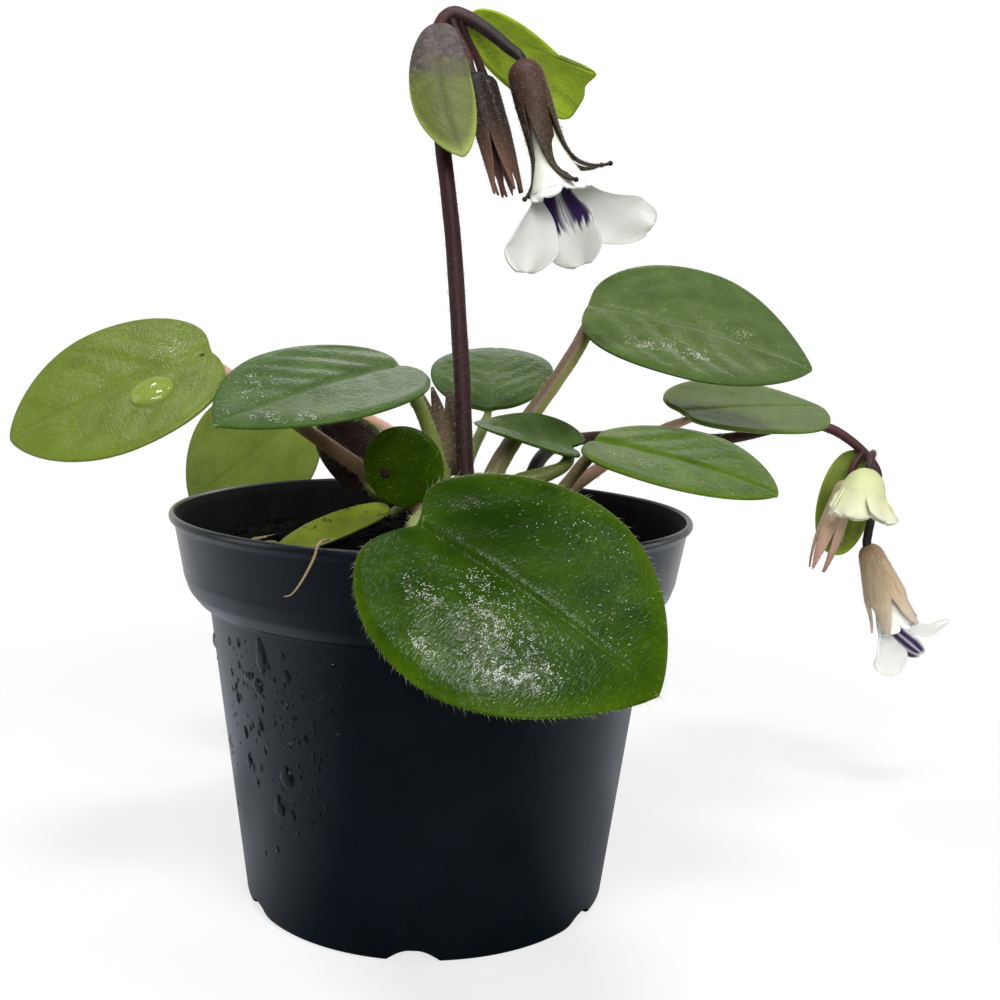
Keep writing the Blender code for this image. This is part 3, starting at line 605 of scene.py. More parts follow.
WATER = water_finish()
LARGE_DROPS = [                # heading, height, half-width, half-height, all in degrees and millimetres
    (-149.1, 55.2, 0.7, 0.9), (-143.8, 55.7, 0.7, 1.1), (-134.2, 54.8, 1.2, 3.0), (-125.8, 52.1, 0.8, 1.1),
    (-136.6, 48.8, 1.2, 1.3), (-149.7, 49.2, 0.6, 0.9), (-148.2, 46.8, 0.7, 0.8), (-147.8, 44.7, 0.8, 1.1),
    (-144.7, 51.4, 0.6, 0.9), (-126.8, 55.7, 0.7, 0.8), (-115.4, 53.0, 0.6, 0.7), (-120.7, 50.0, 0.6, 0.7),
    (-112.8, 55.6, 0.6, 0.7), (-113.5, 47.0, 0.6, 0.6), (-121.7, 41.0, 0.8, 0.9), (-128.9, 32.8, 1.5, 1.9),
    (-145.1, 33.2, 0.9, 1.1), (-142.0, 29.5, 0.7, 1.2), (-132.8, 26.5, 1.3, 1.9), (-128.0, 25.4, 0.8, 1.0),
    (-136.7, 36.6, 0.7, 1.1), (-145.5, 38.4, 0.8, 1.2), (-137.4, 41.1, 0.8, 0.9), (-125.0, 44.3, 0.7, 0.7),
    (-118.8, 43.8, 0.5, 2.2), (-166.7, 52.3, 0.9, 1.3),
]
SMALL_DROPS = 230
SMALL_DROP_SIZE = (0.18, 0.70)
LARGE_DROP_GROWTH = 1.2


print("drops placed by hand", len(LARGE_DROPS))

# %% Drops
def wall_radius(z):
    """Radius of the pot's tapered body at a height."""
    return BASE_RADIUS + (BODY_TOP[0] - BASE_RADIUS) * z / BODY_TOP[1]


def drop_list():
    draw = random.Random(7)
    drops = list(LARGE_DROPS)
    for _ in range(SMALL_DROPS):
        heading = draw.gauss(-134.0, 14.0)
        size = draw.uniform(*SMALL_DROP_SIZE) * draw.uniform(0.5, 1.0)
        drops.append((max(min(heading, -100.0), -186.0), draw.triangular(12.0, 57.5, 48.0), size,
                      size * draw.uniform(1.0, 1.7)))
    return drops


def make_drops():
    drops = drop_list()
    bm = bmesh.new()
    bmesh.ops.create_icosphere(bm, subdivisions=2, radius=1.0)
    for (heading, z, half_width, half_height), ball in zip(drops, copies(bm, len(drops))):
        out = heading_vector(heading)
        beside = heading_vector(heading + 90.0)
        down = (out * (wall_radius(0.0) - wall_radius(1.0)) - Vector((0, 0, 1))).normalized()
        centre = out * mm(wall_radius(z)) + point(0, 0, z)
        if half_width > SMALL_DROP_SIZE[1]:
            half_width, half_height = half_width * LARGE_DROP_GROWTH, half_height * LARGE_DROP_GROWTH
        for vertex in ball:
            across, upward, outward = vertex.co
            narrow = 1.0 - 0.45 * max(upward, 0.0)
            place = beside * across * half_width * narrow - down * upward * half_height
            vertex.co = centre + (place + out * outward * half_width * (0.42 - 0.12 * upward)) * 0.001
    return add_piece("pot_drops", bm, [WATER])


print("drops", len(make_drops().data.polygons) // 80)

# %% [markdown]
# ## A grid for every skin
# Peat, leaves, stalks and petals are all skins, so all start from the same grid. It is bent in two steps:
# the flat step keeps each point's pattern coordinates, and the second step carries it to its real place.
# Where rows or columns meet, the doubles are merged, which closes seams and poles.

# %% Grid helper
MERGE = 0.004                 # points closer than this, in millimetres, are one point


def skin(columns, rows, place, numbers=(), closed=False, facing=None):
    """A grid bent by place(u, v), u and v in 0..1, which gives (point, pattern place, its numbers)."""
    bm = bmesh.new()
    layers = [bm.verts.layers.float.new(name) for name in numbers]
    uv = bm.loops.layers.uv.new("UVMap")
    grid = bmesh.ops.create_grid(bm, x_segments=columns, y_segments=rows, size=1.0)
    flat = {}
    for vertex in grid["verts"]:
        where, pattern, values = place((vertex.co.x + 1) / 2, (vertex.co.y + 1) / 2)
        flat[vertex] = pattern
        vertex.co = where
        for layer, value in zip(layers, values):
            vertex[layer] = value
    for face in bm.faces:
        for loop in face.loops:
            loop[uv].uv = flat[loop.vert]
    bmesh.ops.remove_doubles(bm, verts=bm.verts, dist=mm(MERGE))
    if closed:
        bmesh.ops.recalc_face_normals(bm, faces=bm.faces)
    elif facing is not None and sum(face.normal.dot(facing) * face.calc_area() for face in bm.faces) < 0:
        bmesh.ops.reverse_faces(bm, faces=bm.faces)
    return bm


print("points closer than", MERGE, "mm are merged")

# %% [markdown]
# ## The peat
# The pot is filled with dark peat to a finger below the lip. A flat disc with a bump pattern would do from
# above, but it shows as flat beside the rim, so the plug is one closed skin with a truly lumpy top.

# %% Peat
def peat_finish(name, dark, brown):
    finish, tree, shader = new_finish(name, 0.95, Specular_IOR_Level=0.05)
    place = object_place(tree)
    tone = noise_of(tree, place, 700.0, 5.0, 0.65)
    wire(tree, shader, ramp(tree, tone, (0.40, dark), (0.66, brown), (0.85, (0.035, 0.026, 0.018))),
         bumped(tree, noise_of(tree, place, 1600.0, 4.0, 0.7), 0.35))
    return finish


PEAT = peat_finish("peat_dark", (0.0006, 0.0006, 0.0006), (0.0034, 0.0028, 0.0023))
SOIL_EDGE_Z, SOIL_CENTRE_Z, SOIL_LUMP = 69.5, 71.5, 1.3
SOIL_OUTLINE = [(47.4, 69.5), (46.7, 65.9), (44.3, 61.8), (41.6, 60.4), (34.2, 1.7), (0.0, 1.7)]
SOIL_TOP_SHARE = 0.7          # rows of the grid that go to the top
CROWN_LOW, CROWN_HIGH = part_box("crown")
CROWN = (CROWN_LOW + CROWN_HIGH) * 500.0
CROWN_RADIUS = (CROWN_HIGH.x - CROWN_LOW.x) * 500.0


def soil_height(x, y):
    """Height of the peat's lumpy top, in millimetres."""
    share = math.hypot(x, y) / SOIL_OUTLINE[0][0]
    level = SOIL_CENTRE_Z + (SOIL_EDGE_Z - SOIL_CENTRE_Z) * share ** 2
    lump = noise.noise(point(x, y, level) * 210.0) + 0.5 * noise.noise(point(x, y, level) * 520.0)
    fine = noise.fractal(point(x, y, 0.0) * 900.0, 0.8, 2.2, 3)
    return level + (SOIL_LUMP * lump + 0.55 * fine) * min((1 - share) * 12.0, 1.0)


def soil_place(u, v):
    turn = math.tau * u
    if v <= SOIL_TOP_SHARE:
        radius = SOIL_OUTLINE[0][0] * v / SOIL_TOP_SHARE
        x, y = radius * math.cos(turn), radius * math.sin(turn)
        return point(x, y, soil_height(x, y)), (x / 50.0, y / 50.0), ()
    down = (v - SOIL_TOP_SHARE) / (1 - SOIL_TOP_SHARE) * (len(SOIL_OUTLINE) - 1)
    index = min(int(down), len(SOIL_OUTLINE) - 2)
    (r0, z0), (r1, z1) = SOIL_OUTLINE[index], SOIL_OUTLINE[index + 1]
    radius = r0 + (r1 - r0) * (down - index)
    z = z0 + (z1 - z0) * (down - index)
    return point(radius * math.cos(turn), radius * math.sin(turn), z), (u, z / 50.0), ()


add_piece("peat_plug", skin(220, 100, soil_place, closed=True), [PEAT], "soil")
print("crown at", [round(value, 1) for value in CROWN], "radius", round(CROWN_RADIUS, 1))

# %% [markdown]
# ## Crumbs on the peat
# Peat is made of crumbs and bits of bark. One small ball is repeated, and each copy is squashed, turned and
# roughened at random, which takes few faces. A few pale bits of root lie among them, and their places are
# listed here.

# %% Crumbs
CRUMBS = 620
BARK = peat_finish("bark_bits", (0.0010, 0.0008, 0.0007), (0.0060, 0.0046, 0.0034))
ROOT_BITS = [                  # place on the peat, heading, length and curl of each pale bit of root
    (-37.5, -8.0, 12, 7.0, 2.4), (-31.0, -14.0, 150, 4.5, -1.6), (-27.0, -6.0, -20, 3.0, 1.0),
    (-34.0, 2.0, 60, 5.0, 1.8), (-29.0, -20.0, 30, 4.0, 1.2),
    (-22.5, -12.0, 80, 3.5, 1.2), (30.0, 14.0, 30, 5.0, 1.5), (-12.0, 32.0, 70, 6.0, -2.0),
]


def make_crumbs():
    draw = random.Random(11)
    bm = bmesh.new()
    bmesh.ops.create_icosphere(bm, subdivisions=1, radius=1.0)
    for crumb in copies(bm, CRUMBS):
        turn, radius = draw.uniform(0, math.tau), 45.5 * math.sqrt(draw.random())
        x, y = radius * math.cos(turn), radius * math.sin(turn)
        size = draw.uniform(0.25, 1.0) * draw.uniform(0.5, 1.2)
        shape = Vector((draw.uniform(0.6, 1.6), draw.uniform(0.5, 1.1), draw.uniform(0.4, 0.8))) * size
        spin = Matrix.Rotation(draw.uniform(0, math.tau), 3, "Z")
        tilt = spin @ Matrix.Rotation(draw.uniform(-0.5, 0.5), 3, "X")
        centre = Vector((x, y, soil_height(x, y) + size * 0.15))
        for vertex in crumb:
            rough = vertex.co * draw.uniform(0.75, 1.2)
            vertex.co = point(*(centre + tilt @ Vector(a * b for a, b in zip(rough, shape))))
    return add_piece("peat_crumbs", bm, [BARK])


print("crumbs", len(make_crumbs().data.polygons) // 20)

# %% [markdown]
# ## Stalks
# Petioles, flower stalks and roots are tubes of changing thickness. A grid is wrapped round their centre
# line, frame by frame, and pulled in to a point at both ends. The mesh carries how far along each point
# lies and whether it is on the upper side, so that a finish can change along and round the stalk.

# %% Stalk skin
def curve_through(stations, per_span=8):
    """Points on a smooth Catmull-Rom curve through the stations."""
    padded = [stations[0]] + list(stations) + [stations[-1]]
    line = []
    for index in range(1, len(padded) - 2):
        a, b, c, d = (Vector(padded[index + k]) for k in (-1, 0, 1, 2))
        for step in range(per_span):
            t = step / per_span
            line.append(0.5 * (2 * b + (c - a) * t + (2 * a - 5 * b + 4 * c - d) * t * t
                               + (3 * b - a - 3 * c + d) * t ** 3))
    line.append(Vector(stations[-1]))
    return line


def carried_frames(line):
    """A side vector for each point of the line, carried along without twisting."""
    ways = [(line[min(i + 1, len(line) - 1)] - line[max(i - 1, 0)]).normalized() for i in range(len(line))]
    side = ways[0].orthogonal().normalized()
    sides = []
    for way in ways:
        side = (side - way * side.dot(way)).normalized()
        sides.append(side)
    return ways, sides


def stalk_skin(line, radii, around=20, ripple=0.04, seed=0.0):
    """A closed tube along a line in metres; radii in millimetres are read along it."""
    ways, sides = carried_frames(line)
    last = len(line) - 1
    total = sum((b - a).length for a, b in zip(line, line[1:])) * 1000.0

    def place(u, v):
        index = min(round(v * (last + 2)) - 1, last)
        index = max(index, 0)
        share = index / last
        spot = share * (len(radii) - 1)
        low = min(int(spot), len(radii) - 2)
        radius = radii[low] + (radii[low + 1] - radii[low]) * (spot - low)
        end = v <= 0.0 or v >= 1.0
        turn = math.tau * u
        side, up = sides[index], ways[index].cross(sides[index])
        out = side * math.cos(turn) + up * math.sin(turn)
        radius *= 1.0 + ripple * noise.noise(out * 1.5 + Vector((0, seed, share * total * 0.35)))
        if end:
            radius = 0.0
        return line[index] + out * mm(radius), (u, share * total / 50.0), (share, out.z * 0.5 + 0.5)

    return skin(around, last + 2, place, ("along", "upper"), closed=True)


print("stalk skin ready")

# %% Stalk finish
def stalk_finish(name, foot, head, belly, speck, roughness=0.45, belly_share=0.0, top=None):
    """A stalk's colour runs from foot to head, with a belly colour underneath and fine specks."""
    finish, tree, shader = new_finish(name, roughness, Specular_IOR_Level=0.45, Subsurface_Weight=0.12,
                                      Subsurface_Radius=(1.0, 0.6, 0.3), Subsurface_Scale=0.001)
    place = object_place(tree)
    streak = noise_of(tree, stretched(tree, surface_place(tree), (9.0, 16.0, 1.0)), 3.0, 4.0)
    along = calculate(tree, "ADD", value_of(tree, "along"), levels(tree, streak, 0.3, 0.7, -0.15, 0.15))
    body = ramp(tree, along, (0.05, foot), (0.55, head), (0.80, top or head))
    under = levels(tree, value_of(tree, "upper"), 0.62, 0.30, 0.0, belly_share)
    body = mixed(tree, under, body, belly)
    flecks = levels(tree, noise_of(tree, place, 2600.0, 2.0), 0.60, 0.70, 0.0, 0.7)
    body = mixed(tree, flecks, body, speck)
    wire(tree, shader, body, bumped(tree, noise_of(tree, place, 1800.0, 3.0), 0.08))
    return finish


print("stalk finish ready")

# %% [markdown]
# ## Pale roots
# Dry roots lie on the peat, and one hangs over the lip at the front. They are the thinnest stalks of all.
# The short ones take their height from the peat under them, so they follow its lumps, and the hanging one
# goes round the lip with a little air between.

# %% Pale roots
ROOT_FINISH = stalk_finish("root_tan", (0.20, 0.14, 0.08), (0.30, 0.22, 0.12), (0.2, 0.15, 0.1),
                           (0.42, 0.34, 0.22))
LIP_CLEAR = 0.45              # the hanging root's own radius and a little air


def make_root_bits():
    for number, (x, y, heading, length, curl) in enumerate(ROOT_BITS):
        way, side = heading_vector(heading), heading_vector(heading + 90)
        stations = []
        for step in range(5):
            t = step / 4
            bend = side * curl * math.sin(math.pi * t * 1.3)
            flat = Vector((x, y, 0.0)) + way * length * (t - 0.5) + bend
            height = soil_height(flat.x, flat.y) + 0.25 + 0.5 * math.sin(math.pi * t)
            stations.append((flat.x, flat.y, height))
        line = [point(*station) for station in curve_through(stations, 4)]
        bit = stalk_skin(line, (0.2, 0.36, 0.15), 8, 0.3, number)
        add_piece("root_bit_%d" % number, bit, [ROOT_FINISH])


def make_hanging_root():
    reach = LIP_RADIUS + LIP_CLEAR
    stations = [(-17.0, -44.6, 78.3), (-18.0, -47.2, 78.4), (-18.6, -48.2, 77.6), (-19.2, -48.3, 75.6),
                (-21.0, -47.3, 72.0), (-22.8, -46.2, 69.4), (-24.2, -45.6, 68.8)]
    stations = [(x, -math.sqrt(reach ** 2 - x * x) if z < 78 else y, z) for x, y, z in stations]
    line = [point(*station) for station in curve_through(stations, 5)]
    root = stalk_skin(line, (0.20, 0.26, 0.24, 0.20, 0.14, 0.07), 10, 0.3, 3.0)
    add_piece("root_hanging", root, [ROOT_FINISH], "root_fibre")


make_root_bits()
make_hanging_root()
print("root bits", len(ROOT_BITS))

# %% [markdown]
# ## The leaf's finish
# A chirita leaf is soft green and lightly quilted, with paler veins and an edge of its own colour. Its skin
# is made of small swollen cells, and the creases between them are darkened, which is painted shade. The
# hairs that lie on it leave fine streaks. An image could hold all that, but patterns stay sharp at any
# distance: noise for the patches of green, one cell pattern for the painted shade in the creases, and a
# second one, drawn out along the lie of the hairs, for the streaky relief. Veins, edge and hollow follow
# the blade, because the mesh carries them as numbers. Where the blade is hollow its colour is darkened,
# which is painted shade.

# %% Leaf finish
def leaf_finish(name, deep, main, light, rim, roughness=0.28, grain=0.045, glow=0.10, shine=0.12):
    finish, tree, shader = new_finish(name, roughness, Specular_IOR_Level=shine, Subsurface_Weight=glow,
                                      Subsurface_Radius=(0.6, 1.0, 0.2), Subsurface_Scale=0.0012)
    place, flat = object_place(tree), surface_place(tree)
    patch = noise_of(tree, place, 130.0, 4.0, 0.55)
    body = ramp(tree, patch, (0.30, deep), (0.52, main), (0.76, light))
    body = mixed(tree, calculate(tree, "MULTIPLY", value_of(tree, "vein"), 0.30), body, light)
    edge = calculate(tree, "MULTIPLY", value_of(tree, "rim"), levels(tree, patch, 0.3, 0.7, 0.6, 1.0))
    body = mixed(tree, edge, body, rim)
    lying = stretched(tree, flat, (1.0, 0.38, 1.0), -38.0)
    streaks = add(tree, "TexVoronoi", {"Vector": lying, "Scale": 150.0}).outputs["Distance"]
    speckle = levels(tree, noise_of(tree, lying, 260.0, 2.0), 0.35, 0.75)
    body = mixed(tree, calculate(tree, "MULTIPLY", speckle, 0.12), body, light)
    cells = noise_of(tree, flat, 34.0, 2.0)
    # painted shade: the creases between the skin's cells are darkened towards the deep green
    painted_crease_shade = add(tree, "TexVoronoi", {"Vector": flat, "Scale": 62.0}).outputs["Distance"]
    body = mixed(tree, calculate(tree, "MULTIPLY", levels(tree, painted_crease_shade, 0.1, 0.7), 0.30), body, deep)
    # painted shade: the colour is darkened in the hollow beside the midrib
    hollow = calculate(tree, "MULTIPLY", value_of(tree, "hollow"), 0.8)
    body = mixed(tree, hollow, body, tuple(part * 0.6 for part in deep))
    relief = bumped(tree, cells, 0.12)
    relief = bumped(tree, streaks, -grain, relief)
    gloss = levels(tree, speckle, 0.0, 1.0, roughness + 0.06, roughness - 0.06)
    wire(tree, shader, body, relief, gloss)
    return finish


def underside_finish(name, main, vein_colour, glow=0.15):
    finish, tree, shader = new_finish(name, 0.55, Specular_IOR_Level=0.35, Subsurface_Weight=glow,
                                      Subsurface_Radius=(0.6, 1.0, 0.2), Subsurface_Scale=0.0012)
    place = object_place(tree)
    tone = noise_of(tree, place, 200.0, 4.0)
    darker = tuple(part * 0.75 for part in main)
    body = ramp(tree, tone, (0.3, darker), (0.7, main))
    body = mixed(tree, calculate(tree, "MULTIPLY", value_of(tree, "vein"), 0.8), body, vein_colour)
    wire(tree, shader, body, bumped(tree, noise_of(tree, surface_place(tree), 60.0, 3.0), 0.2))
    return finish


print("leaf finish ready")

# %% Greens
# The leaves share one green, and these are copies of it, each darkened, greyed or lightened for the light
# on its leaf: the deep one is painted shade for the front leaf and the round young one, the grey and top
# ones have the wall's grey sheen painted into their colour, and the fresh and pale ones paint the light
# that shines through a leaf from behind.
SHADED_GREEN = leaf_finish("leaf_deep_green", (0.010, 0.032, 0.0005), (0.025, 0.060, 0.0010),
                         (0.048, 0.094, 0.002), (0.056, 0.108, 0.003), roughness=0.23, shine=0.08)
SHEEN_GREEN = leaf_finish("leaf_grey_green", (0.034, 0.066, 0.014), (0.064, 0.106, 0.030),
                         (0.098, 0.148, 0.050), (0.035, 0.090, 0.004))
TOP_SHEEN_GREEN = leaf_finish("leaf_top_green", (0.048, 0.082, 0.018), (0.080, 0.122, 0.034),
                        (0.125, 0.172, 0.058), (0.035, 0.090, 0.004))
BACKLIT_GREEN = leaf_finish("leaf_fresh_green", (0.090, 0.130, 0.016), (0.130, 0.172, 0.024),
                          (0.170, 0.220, 0.042), (0.130, 0.190, 0.018), glow=0.20)
MID_GREEN = leaf_finish("leaf_mid_green", (0.035, 0.078, 0.004), (0.066, 0.118, 0.008),
                        (0.100, 0.160, 0.018), (0.090, 0.150, 0.010), glow=0.15, shine=0.05)
BACKLIT_PALE_GREEN = leaf_finish("leaf_pale_green", (0.050, 0.092, 0.012), (0.078, 0.122, 0.020),
                         (0.110, 0.160, 0.036), (0.100, 0.150, 0.024), glow=0.18, shine=0.03)
PALE_UNDER = underside_finish("leaf_under_pale", (0.230, 0.320, 0.055), (0.150, 0.230, 0.035), 0.3)
GREEN_UNDER = underside_finish("leaf_under_green", (0.150, 0.230, 0.050), (0.220, 0.300, 0.080))
print("leaf greens mixed")

# %% [markdown]
# ## A leaf blade
# Each blade has the outline, the bend and the place of its solid, and is drawn on a far finer grid. Its
# relief comes from the plant: a groove along the midrib, side veins that run out and forward, and blade
# that swells between them. Two blades need more: the front leaf is hollow beside its midrib, and one bract
# has an edge drawn out to a corner. Solidify gives a blade its thickness, which thins out at the edge.

# %% Blade
NOTCH_SPREAD, NOTCH_KEEP = 0.13, 0.04
EDGE_THINNING = 0.35          # the edge's thickness as a share of the middle's
PATTERN_SIZE = 50.0           # millimetres of leaf to one unit of pattern
HOLLOW_DEPTH = 0.5            # how far the skin sinks in the middle of a hollow


class Blade:
    """A leaf: where its petiole joins it, how it lies and how it bends. Face is 1 if +normal is its top."""

    def __init__(self, name, base, heading, rise, roll, length, width, cup=0.05, arch=0.08, twist=0.0,
                 tip=1.45, shoulder=0.82, lobe=0.10, thickness=1.2, face=1.0, pitch=6.8, quilt=0.065,
                 bow=0.0, corner=None, hollow=None):
        self.name, self.base = name, point(*base)
        self.length, self.width, self.thickness = length, width, thickness
        self.cup, self.arch, self.twist = cup, arch, twist
        self.tip, self.shoulder, self.lobe = tip, shoulder, lobe
        self.pitch, self.quilt, self.bow, self.corner, self.hollow = pitch, quilt, bow, corner, hollow
        self.along = heading_vector(heading, rise)
        level = heading_vector(heading + 90.0)
        upright = self.along.cross(level)
        turn = math.radians(roll)
        self.across = level * math.cos(turn) + upright * math.sin(turn)
        self.normal = self.along.cross(self.across)
        self.face = face
        self.seed = len(name) + length

    def outline(self, turn):
        """Edge of the flat blade: turn runs from -1 at the notch through 0 at the tip to +1."""
        angle = math.pi * abs(turn)
        side = 1.0 if turn >= 0 else -1.0
        power = self.tip if angle < math.pi / 2 else self.shoulder
        y = self.width / 2 * max(math.sin(angle), 0.0) ** power
        x = self.length * ((1 - self.lobe) / 2 + (1 + self.lobe) / 2 * math.cos(angle))
        if angle > math.pi / 2:
            notch = max(self.lobe - NOTCH_KEEP, 0.0) * self.length
            x += notch * math.exp(-(y / (NOTCH_SPREAD * self.width)) ** 2)
        if self.corner is not None:
            where, onward, outward, spread = self.corner
            pull = math.exp(-((turn - where) / spread) ** 2)
            x, y = x + onward * pull, y + outward * pull
        return x, side * y

    def height(self, x, y):
        half = self.width / 2
        bend = self.cup * y * y / half - self.arch * max(x, 0.0) ** 2 / self.length
        return bend + self.twist * x * y / half

    def vein(self, x, y):
        """Distance in millimetres to the nearest side vein, and where between two veins the point lies."""
        wander = 0.22 * noise.noise(Vector((x / 11.0, y / 11.0, self.seed + 5.0)))
        apart = 0.4 if y < 0 else 0.0
        phase = (x - 0.55 * abs(y) - 0.020 * y * y) / self.pitch + 0.3 + apart + wander
        between = abs(phase - round(phase))
        return between * self.pitch * 0.8, between * 2.0

    def relief(self, x, y, share):
        """Height of the skin over the smooth blade, towards its upper side, and the vein's strength."""
        distance, swell = self.vein(x, y)
        calm = 1.0 - share ** 2.5
        taper = 1.0 - 0.65 * max(x, 0.0) / self.length
        midrib = math.exp(-(y / (1.1 * taper + 0.2)) ** 2)
        branch = math.exp(-(distance / 0.55) ** 2) * min(abs(y) / 2.0, 1.0) * calm
        quilt = self.quilt * (1 - math.cos(math.pi * swell)) * min(abs(y) / 4.0, 1.0) * calm
        step = min(share * 2, 1) * calm
        slow = noise.noise(Vector((x / 9.0, y / 9.0, self.seed)))
        quick = noise.noise(Vector((x / 3.1, y / 3.1, self.seed)))
        height = quilt - 0.5 * midrib * taper - 0.02 * branch + (0.40 * slow + 0.05 * quick) * step
        return height * min(self.quilt / 0.06, 1.0), max(midrib, 0.7 * branch)

    def place(self, x, y, rise=0.0):
        lift = self.height(x, y) + rise * self.face
        y += self.bow * 4 * x / self.length * (1 - x / self.length)
        return self.base + self.along * mm(x) + self.across * mm(y) + self.normal * mm(lift)

    def grid_place(self, u, v):
        turn, share = u * 2 - 1, v ** 0.8
        edge_x, edge_y = self.outline(turn)
        x, y = edge_x * share, edge_y * share
        rise, vein = self.relief(x, y, share)
        rim = max((share - 0.88) / 0.12, 0.0) ** 1.5
        sunk = 0.0
        if self.hollow is not None:
            middle_x, middle_y, reach = self.hollow
            sunk = math.exp(-(((x - middle_x) ** 2 + (y - middle_y) ** 2) / reach ** 2))
        numbers = (vein, rim, x / self.length, sunk)
        where = self.place(x, y, rise - HOLLOW_DEPTH * sunk)
        return where, (x / PATTERN_SIZE, abs(y) / PATTERN_SIZE), numbers

    def build(self, finishes, slot, columns=190, rows=50):
        numbers = ("vein", "rim", "reach", "hollow")
        bm = skin(columns, rows, self.grid_place, numbers, facing=self.normal * self.face)
        rim = bm.verts.layers.float["rim"]
        weights = bm.verts.layers.deform.verify()
        for vertex in bm.verts:
            vertex[weights][0] = 1.0 - (1.0 - EDGE_THINNING) * vertex[rim]
        piece = add_piece(self.name + "_blade", bm, finishes, self.name)
        piece.vertex_groups.new(name="thickness")
        wall = piece.modifiers.new("thickness", "SOLIDIFY")
        wall.thickness = mm(self.thickness)
        wall.offset = 0.0
        wall.vertex_group = "thickness"
        wall.material_offset = 1
        wall.material_offset_rim = 0
        return piece


print("a unit of leaf pattern is", PATTERN_SIZE, "mm")

# %% [markdown]
# ## Fur on the leaves
# The hairs at a leaf's edge stand out as a fringe and lean a little to the tip. Those on its face lie low
# and point out and forward, as the side veins do. Where the wet fur shines, the shine is painted: short
# near-white stubs are strewn there in patches, and left out wherever a noise is low, so they clump as wet
# hairs do.

# %% Leaf fur
def fringe(blade, spacing=0.42, length=1.25):
    """Stems round the blade's edge, one for each bit of spacing, in a few directions."""
    draw = random.Random(int(blade.seed * 10))
    steps = int(3.0 * blade.length / spacing)
    stems = []
    for step in range(steps):
        turn = -0.97 + 1.94 * (step + draw.random()) / steps
        edge_x, edge_y = blade.outline(turn)
        edge = blade.place(edge_x, edge_y)
        inner = blade.place(edge_x * 0.94, edge_y * 0.94)
        out = (edge - inner).normalized()
        way = out + blade.along * draw.uniform(-0.1, 0.6) + blade.normal * draw.uniform(-0.7, 0.7)
        root = edge - out * mm(0.35) + blade.normal * mm(draw.uniform(-0.15, 0.15))
        stems.append((root, root + way.normalized() * mm(0.35 + length * draw.uniform(0.4, 1.2))))
    return stems


def nap(blade, piece, density=2.2, length=0.85):
    """Stems that lie along the blade's upper face; density is hairs to a square millimetre."""
    area = blade.length * blade.width * 0.8

    def lean(place):
        side = 1.0 if (place - blade.base).dot(blade.across) > 0 else -1.0
        return (blade.along + blade.across * side * 0.9) * 1.2

    return scattered(piece, int(area * density), length, int(blade.seed * 7), 0.55, lean,
                     blade.thickness / 2 - 0.1)


def dress_leaf(blade, finishes, slot, density=2.2, columns=190, rows=50, edge_hair=1.25):
    piece = blade.build(finishes, slot, columns, rows)
    stems = fringe(blade, length=edge_hair) + nap(blade, piece, density)
    hairs(blade.name + "_fur", stems, 0.032, SILVER_HAIR)
    return len(stems)


print("fur ready")

# %% Glints
def glints(blade, patches):
    """Near-white stubs that paint highlights, in patches: each is (along, across, half-length, half-width,
    count).
    """
    draw = random.Random(int(blade.seed * 3))
    stems = []
    for x, y, half_x, half_y, count in patches:
        for _ in range(count):
            along, across = draw.gauss(x, half_x), draw.gauss(y, half_y)
            if noise.noise(Vector((along / 1.3, across / 1.3, blade.seed))) < -0.05:
                continue
            if math.hypot(2 * along / blade.length - 1, 2.1 * across / blade.width) > 0.92:
                continue
            rise, _ = blade.relief(along, across, 0.6)
            root = blade.place(along, across, rise + blade.thickness / 2 - 0.02)
            way = blade.along * draw.uniform(-0.3, 1.0) + blade.across * draw.uniform(-0.8, 0.8)
            way += blade.normal * blade.face * draw.uniform(0.1, 0.5)
            stems.append((root, root + way.normalized() * mm(draw.uniform(0.15, 0.5))))
    hairs(blade.name + "_glints", stems, 0.06, GLINT)
    return len(stems)


print("glints ready")

# %% [markdown]
# ## The twelve leaves
# The big outer leaves come first and the young ones at the crown last. The places and angles are the same
# as in the solids, so each blade lies where its solid does, give or take the swelling between its veins.

# %% Outer leaves
YOUNG = 0.9                   # thickness of a young leaf, in millimetres
front = Blade("leaf_front", (-1.5, -52.5, 81.6), -37, -19, 34, 45, 45, cup=-0.05, arch=0.16, twist=-0.03,
              tip=1.6, shoulder=1.1, lobe=0.19, pitch=9.0, quilt=0.06, hollow=(8.0, 7.0, 11.0))
far_left = Blade("leaf_far_left", (-43.0, -11.4, 106.7), 196, -22, -35, 37.5, 35.5, cup=0.04, arch=0.07,
                 twist=0.02, tip=1.4, lobe=0.08)
left = Blade("leaf_left", (-8.0, -14.5, 105.5), 219, -10, -15, 37.5, 35.5, cup=0.06, arch=0.09, twist=0.03,
             tip=1.65, shoulder=0.9, quilt=0.12)
back_left = Blade("leaf_back_left", (-31.0, 55.0, 90.4), 186, -36, -50, 33.9, 36.5, cup=0.06, tip=1.3,
                  shoulder=0.85, lobe=0.04)
back = Blade("leaf_back", (11.0, 21.5, 96.6), 84, 31, 0, 27, 27, cup=0.06, arch=0.10, tip=1.2,
             shoulder=0.95, lobe=0.05, pitch=4.8, quilt=0.06)
right = Blade("leaf_right", (31.3, -9.8, 92.2), -28, -7, 11, 35.1, 33, cup=0.06, arch=0.09, tip=1.48,
              shoulder=0.91, lobe=0.07)
top_right = Blade("leaf_top_right", (32.7, 15.8, 118.2), -15, -9, 32, 45.6, 43.1, cup=0.08, arch=0.12,
                  twist=-0.05, tip=1.65, shoulder=0.79, lobe=0.05, pitch=7.4, quilt=0.17)
back_right = Blade("leaf_back_right", (57.5, 37.8, 95.3), 22, 3, 15, 37.5, 36.1, cup=0.05, arch=0.03,
                   twist=0.02, tip=1.44, shoulder=0.83, quilt=0.04)
